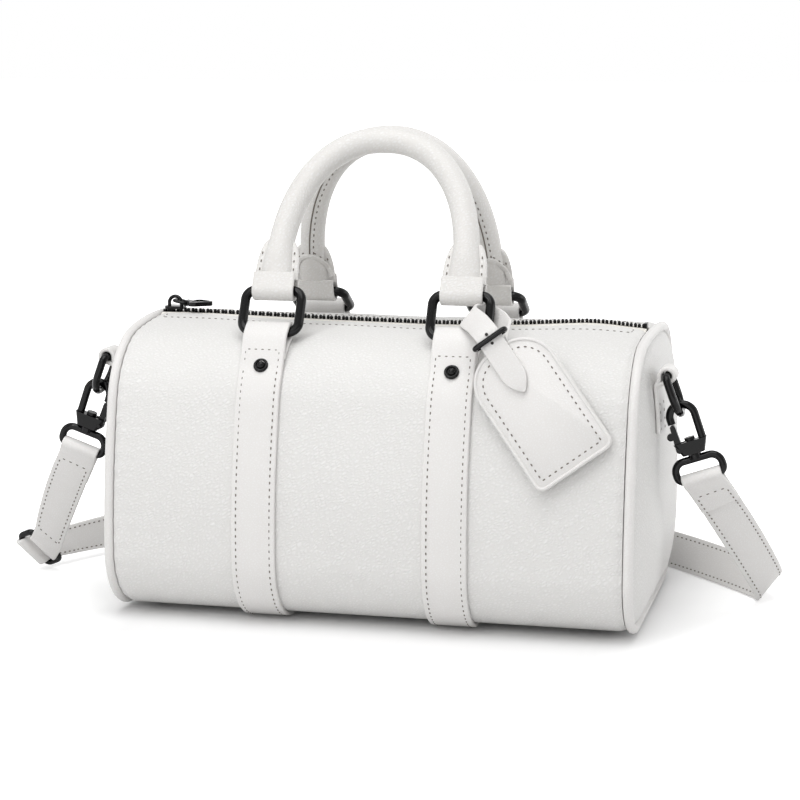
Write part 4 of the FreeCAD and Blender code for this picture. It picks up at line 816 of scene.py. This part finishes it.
# A band from the adjuster's bar to the eye's. Each end turns round its bar on an arc and lies back under it.
def loopedBand(name, middle, across, replaced):
    run = pathRun(middle)
    at = np.arange(0, run[-1], band["step"])
    path, across = (easedPath(readAt(values, run, at), band["passes"]) for values in (middle, across))
    across = unit(across)
    # the lower edge rests on the floor where the band would sink under it
    path[:, 2] = np.maximum(path[:, 2], band["floorGap"] + np.abs(across[:, 2]) * band["width"] / 2)
    along = unit(np.gradient(path, axis=0))
    face = unit(np.cross(along, across))
    straight = np.cross(across, face)
    fromEnd = np.minimum(at, at[-1] - at)[:, None]
    layer = band["leather"] / 2 + band["layerGap"]
    tailEnd, tailGone = (band["tail"] + ease for ease in band["tailEase"])
    stand = face * layer * (1 - smoothStep(fromEnd, tailEnd, tailGone))
    front, under = path + stand, path - face * layer
    turn = np.radians(np.linspace(*band["loopAngles"], band["loopPoints"]))[:, None]
    # lengths along the band as numbers of rows
    lengths = (2 * bandRadii[0], 2 * bandRadii[1], band["tail"], band["sewStart"])
    first, last, tail, margin = (int(length / band["step"]) for length in lengths)
    startLoop = path[0] + bandRadii[0] * (np.cos(turn) * straight[0] - np.sin(turn) * face[0])
    endLoop = path[-1] + bandRadii[1] * (-np.cos(turn) * straight[-1] + np.sin(turn) * face[-1])
    whole = np.concatenate([under[tail:first:-1], startLoop, front[first:-last], endLoop,
                            under[-last:-tail:-1]])
    turned = np.concatenate([across[tail:first:-1], np.broadcast_to(across[0], startLoop.shape),
                             across[first:-last], np.broadcast_to(across[-1], endLoop.shape),
                             across[-last:-tail:-1]])
    length = pathRun(whole)
    even = np.linspace(0, length[-1], int(length[-1] / band["stripStep"]))
    strip, turned = (readAt(values, length, even) for values in (whole, turned))
    strip, turned = easedPath(strip, band["stripPasses"]), unit(turned)
    stripFace = unit(np.cross(np.gradient(strip, axis=0), turned))
    piece = addBand(name, strip, (turned, stripFace), band, "shoulder_strap", smooth)
    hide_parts(replaced)
    begin, stop = first + margin, len(path) - last - margin
    spread = np.linspace(-band["sewn"], band["sewn"], band["crossPoints"])[:, None]
    for facing in sides:
        surface = path + facing * (stand + face * layer)
        for offset in (-band["sewn"], band["sewn"]):
            sewRow("shoulder_strap", (surface + across * offset)[begin:stop], (face * facing)[begin:stop])
        for spot in (begin, stop):
            sewRow("shoulder_strap", surface[spot] + across[spot] * spread, face[spot] * facing)
    print(name, "is", round(length[-1]), "mm long with its folds")


# The bow behind the bag: a cubic curve on four corners, upright in its middle and leaning at its ends.
bowShare = np.linspace(0, 1, band["bowPoints"])[:, None]
bowCorners = [leftLow, *np.array(band["bow"], float), rightLow]
weights = [(1 - bowShare) ** 3, 3 * (1 - bowShare) ** 2 * bowShare, 3 * (1 - bowShare) * bowShare ** 2,
           bowShare ** 3]
bowLow = sum(weight * corner for weight, corner in zip(weights, bowCorners))
nearLeft = 1 - smoothStep(bowShare, 0, band["turnShare"])
nearRight = smoothStep(bowShare, 1 - band["turnShare"], 1)
bowAcross = unit(np.array([0, 0, 1.0]) * (1 - nearLeft - nearRight) + leftAcross * nearLeft
                 + rightAcross * nearRight)
bowMiddle = bowLow + bowAcross * band["width"] / 2
dropShare = np.linspace(0, 1, curvePoints)[:, None]


# A hanging drop: a line plus half a sine wave outwards, with the lean turning evenly.
def bandDrop(low, lowAcross, end):
    out = np.array(band["bellyOut"]) * np.array([end, 1, 1])
    line = low + (eyes[end] - low) * dropShare + np.sin(np.pi * dropShare) * band["belly"] * out
    return line, unit(lowAcross + (eyeBars[end] - lowAcross) * dropShare)


rightDrop, rightTurn = bandDrop(bowMiddle[-1], rightAcross, 1)
loopedBand("strapLong", np.concatenate([bowMiddle[:-1], rightDrop]),
           np.concatenate([bowAcross[:-1], rightTurn]), "strap_long")
loopedBand("strapShort", *bandDrop(shortBar, leftAcross, -1), "strap_short")
print("shoulder strap done")

# The name tag: two sewn layers, held by a strap round the front right ring.
tag = {"width": 46.5, "height": 74.5, "leather": 1.6, "layerGap": 0.1, "corner": 5, "shoulder": 19,
       "cornerPoints": 14, "place": (91.7, -80.892, 123), "lean": 11, "tilt": 36.5, "border": 5.0,
       "sewLift": 0.05, "edge": 0.35, "rimInset": 1.0, "rimRadius": 0.9, "rimSink": 0.3, "rimSides": 10}
lean, tilt = math.radians(tag["lean"]), math.radians(tag["tilt"])
tagFace = np.array([0, -math.cos(lean), math.sin(lean)])
tagUp = np.array([0, math.sin(lean), math.cos(lean)])
tagRight = math.cos(tilt) * xAxis + math.sin(tilt) * tagUp
tagUp = -math.sin(tilt) * xAxis + math.cos(tilt) * tagUp
tagAxes = (np.array(tag["place"]), tagRight, tagUp, tagFace)


# The tag's outline set in from its edge: round shoulders above and small corners below.
def tagOutline(inset):
    radii = [tag["shoulder"]] * 2 + [tag["corner"]] * 2
    return cornerSection(tag["width"], tag["height"], radii, tag["cornerPoints"], inset)


for name, low in (("Back", 0), ("Front", tag["leather"] + tag["layerGap"])):
    insets = (tag["edge"], 0, 0, tag["edge"])
    levels = np.array([0, tag["edge"], tag["leather"] - tag["edge"], tag["leather"]])
    rings = np.stack([tagOutline(inset) for inset in insets])
    points = placeOn(tagAxes, rings[..., 0], rings[..., 1], low + levels[:, None])
    layer = addPiece(f"tag{name}Layer", points.reshape(-1, 3), tubeFaces(*rings.shape[:2]), "tag", smooth,
                     sharpAngle=sharp["tag"])
    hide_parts(f"tag_{name.lower()}_layer")
tagTop = 2 * tag["leather"] + tag["layerGap"]
border = tagOutline(tag["border"])
border = np.concatenate([border, border[:1]])
sewRow("tag", placeOn(tagAxes, *border.T, tagTop + tag["sewLift"]), tagFace)
sewRow("tag", placeOn(tagAxes, *border.T, -tag["sewLift"]), -tagFace)

# the raised rim along the edge
rimPath = placeOn(tagAxes, *tagOutline(tag["rimInset"]).T, tagTop - tag["rimSink"])
rimAlong = unit(np.roll(rimPath, -1, 0) - np.roll(rimPath, 1, 0))
section = roundSection(tag["rimRadius"], tag["rimSides"])
addPiece("tagRim", *sweepMesh(rimPath, np.cross(rimAlong, tagFace), tagFace, section, True), "tag", smooth)

# The tag's strap: up the back, round the ring's bar by steps from its middle, and down the front.
hang = {"width": 13, "leather": 1.8, "corner": 0.6, "tipShare": 0.36, "loop": (60.6, -51.44, 165.255),
        "lift": 0.5, "point": 11, "bluntShare": 0.1, "tipPower": 1.9, "neck": 9, "backLevel": -1.2,
        "backSpan": (-8, 2), "foldAcross": (0.6, 0.15, 0.79), "holes": (40.2, 45.6), "holeRadius": 0.85,
        "holeLevels": (-0.3, 0.05), "holeSides": 12, "backPoints": 8, "passes": 40, "turnPasses": 120,
        "loopSteps": ((8.4, -14.6, -9.2), (7.9, -2.6, -5.7), (2.9, 5.4, -2.2), (-4.6, 4.9, 0.6),
                      (-9.4, 0.5, 1.0), (-11, -3.2, 1.0), (-9.6, -7.5, 0.7), (-3.6, -15, -1.2))}
loopMiddle = np.array(hang["loop"])
level = tagTop + hang["lift"] + hang["leather"] / 2
tagHalf = tag["height"] / 2
neckY = tagHalf + hang["neck"]
tipY = tagHalf - tag["height"] * hang["tipShare"]
frontPath = placeOn(tagAxes, 0, np.linspace(neckY, tipY, curvePoints), level)
backY = tagHalf + np.linspace(*hang["backSpan"], hang["backPoints"])
backPath = placeOn(tagAxes, 0, backY, hang["backLevel"])
loop = loopMiddle + np.array(hang["loopSteps"])
points = np.concatenate([backPath, loop, frontPath])
across = np.repeat([tagRight, unit(np.array(hang["foldAcross"])), tagRight],
                   [len(backPath), len(loop), len(frontPath)], 0)
run = pathRun(points)
at = np.linspace(0, run[-1], longPoints)
path, across = (readAt(values, run, at) for values in (points, across))
path, across = easedPath(path, hang["passes"]), easedPath(across, hang["turnPasses"])
# the width narrows to a blunt tip along a curve
toTip = np.clip((run[-1] - at) / hang["point"], 0, 1)
wide = hang["bluntShare"] + (1 - hang["bluntShare"]) * (1 - (1 - toTip) ** hang["tipPower"])
section = bandSection(hang["width"], hang["leather"], hang["corner"])[None] * np.stack(
    [wide, np.ones_like(wide)], 1)[:, None]
tagStrap = addPiece("tagStrap", *sweepMesh(path, *pathFrames(path, across), section), None, smooth)
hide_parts("tag_strap")
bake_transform(tagStrap)
# each hole is a dark disc: painted shade where the strap is punched through
for number, y in enumerate(hang["holes"]):
    hole = placeOn(tagAxes, 0, y, level + hang["leather"] / 2 + np.array(hang["holeLevels"]))
    mesh = sweepMesh(hole, tagRight, tagUp, roundSection(hang["holeRadius"], hang["holeSides"]))
    addPiece(f"tagStrapHoleShade{number + 1}", *mesh, "tag", holeShade, None)
print("tag done")

sewAll()
print("stitches done")

# The hard pieces keep the shapes they were built with.
for entry in frame["record"]["subparts"]:
    shown = nodes[entry["node"]]
    shown.data.materials.clear()
    shown.data.materials.append(slotLooks[entry["material_slot"]])
    shown.data.shade_smooth()
    shown.data.set_sharp_from_angle(angle=math.radians(sharp["hard"]))

# The studio: a white floor, an even white room and six soft lights, in metres. The camera is in millimetres.
studio = {"floor": "#ececec", "floorSize": 30, "room": 0.36, "shownRoom": 1.0,
          "footprint": (0.125, 0.108, 0), "glowFull": 0.18,
          "camera": {"azimuth": 13.6, "elevation": 9.3, "distance": 1222, "target": (0, 0, 111), "lens": 99,
                     "sensor": 36}}


# One where the camera or a mirror looks, so the white there lights nothing: three kinds of ray, summed.
def shownShare(tree):
    rays = addNode(tree, "LightPath").outputs
    mirrored = addNode(tree, "Math", {0: rays["Is Glossy Ray"], 1: rays["Is Transmission Ray"]},
                       operation="ADD")
    return addNode(tree, "Math", {0: rays["Is Camera Ray"], 1: mirrored.outputs["Value"]},
                   operation="ADD", use_clamp=True).outputs["Value"]


floorMesh = bpy.data.meshes.new("floor")
half = studio["floorSize"] / 2
floorMesh.from_pydata([(-half, -half, 0), (half, -half, 0), (half, half, 0), (-half, half, 0)], [],
                      [(0, 1, 2, 3)])
# White seamless paper: dull. It glows for the camera and mirrors, more with the distance from the bag:
# painted light that whitens the floor and washes out the shadow away from the bag, while the shadow near it
# stays.
paper, tree, shader = newMaterial("whitePaper", studio["floor"], 0.9, Specular_IOR_Level=0.1)
place = addNode(tree, "TexCoord").outputs["Object"]
apart = addNode(tree, "VectorMath", {0: place}, operation="ABSOLUTE")
beyond = addNode(tree, "VectorMath", {0: apart.outputs["Vector"], 1: studio["footprint"]},
                 operation="SUBTRACT")
beyond = addNode(tree, "VectorMath", {0: beyond.outputs["Vector"], 1: (0, 0, 0)}, operation="MAXIMUM")
away = addNode(tree, "VectorMath", {0: beyond.outputs["Vector"]}, operation="LENGTH")
glow = addNode(tree, "MapRange", {"Value": away.outputs["Value"], "From Min": 0.0,
                                  "From Max": studio["glowFull"]})
# the glow reaches only the camera and mirrors: painted light on the floor, growing away from the bag
glow = addNode(tree, "Math", {0: glow.outputs["Result"], 1: shownShare(tree)}, operation="MULTIPLY")
tree.links.new(glow.outputs["Value"], shader.inputs["Emission Strength"])
shader.inputs["Emission Color"].default_value = white
floorMesh.materials.append(paper)
floor = bpy.data.objects.new("floor", floorMesh)
bpy.context.scene.collection.objects.link(floor)

world = bpy.data.worlds.new("room")
world.use_nodes = True
bpy.context.scene.world = world
tree = world.node_tree
glow = addNode(tree, "Mix", {"Factor": shownShare(tree), "A": studio["room"],
                             "B": studio["shownRoom"]}, data_type="FLOAT")
tree.nodes["Background"].inputs["Color"].default_value = white
tree.links.new(glow.outputs["Result"], tree.nodes["Background"].inputs["Strength"])

lights = {
    "topLight": {"place": (0, -0.45, 1.5), "aim": (0, 0, 0.05), "size": 1.2, "power": 16.2},
    "frontLight": {"place": (-0.3, -2.0, 0.8), "aim": (0, 0, 0.08), "size": 1.6, "power": 8.8},
    "rightLight": {"place": (1.6, 0.2, 0.4), "aim": (0, 0, 0.08), "size": 0.9, "power": 5.6},
    "backLight": {"place": (0.9, 1.6, 0.7), "aim": (0, 0, 0.08), "size": 1.4, "power": 5.5},
    "leftLight": {"place": (-1.5, -0.7, 0.5), "aim": (0, 0, 0.08), "size": 0.9, "power": 2.4},
    "sparkLight": {"place": (-0.5, -1.1, 1.0), "aim": (0, 0, 0.12), "size": 0.25, "power": 2.2},
}
for name, look in lights.items():
    lamp = bpy.data.lights.new(name, "AREA")
    lamp.size = look["size"]
    lamp.energy = look["power"]
    lampObject = bpy.data.objects.new(name, lamp)
    lampObject.location = look["place"]
    aim = Vector(look["aim"]) - Vector(look["place"])
    lampObject.rotation_euler = aim.to_track_quat("-Z", "Y").to_euler()
    bpy.context.scene.collection.objects.link(lampObject)

view = studio["camera"]
azimuth, elevation = math.radians(view["azimuth"]), math.radians(view["elevation"])
back = Vector((math.sin(azimuth) * math.cos(elevation), -math.cos(azimuth) * math.cos(elevation),
               math.sin(elevation)))
cameraData = bpy.data.cameras.new("camera")
cameraData.lens = view["lens"]
cameraData.sensor_width = view["sensor"]
cameraData.dof.use_dof = False
camera = bpy.data.objects.new("camera", cameraData)
camera.location = (Vector(view["target"]) + back * view["distance"]) * mm
camera.rotation_euler = (-back).to_track_quat("-Z", "Y").to_euler()
bpy.context.scene.collection.objects.link(camera)
bpy.context.scene.camera = camera
bpy.context.scene.view_settings.view_transform = "Standard"
print("studio done")
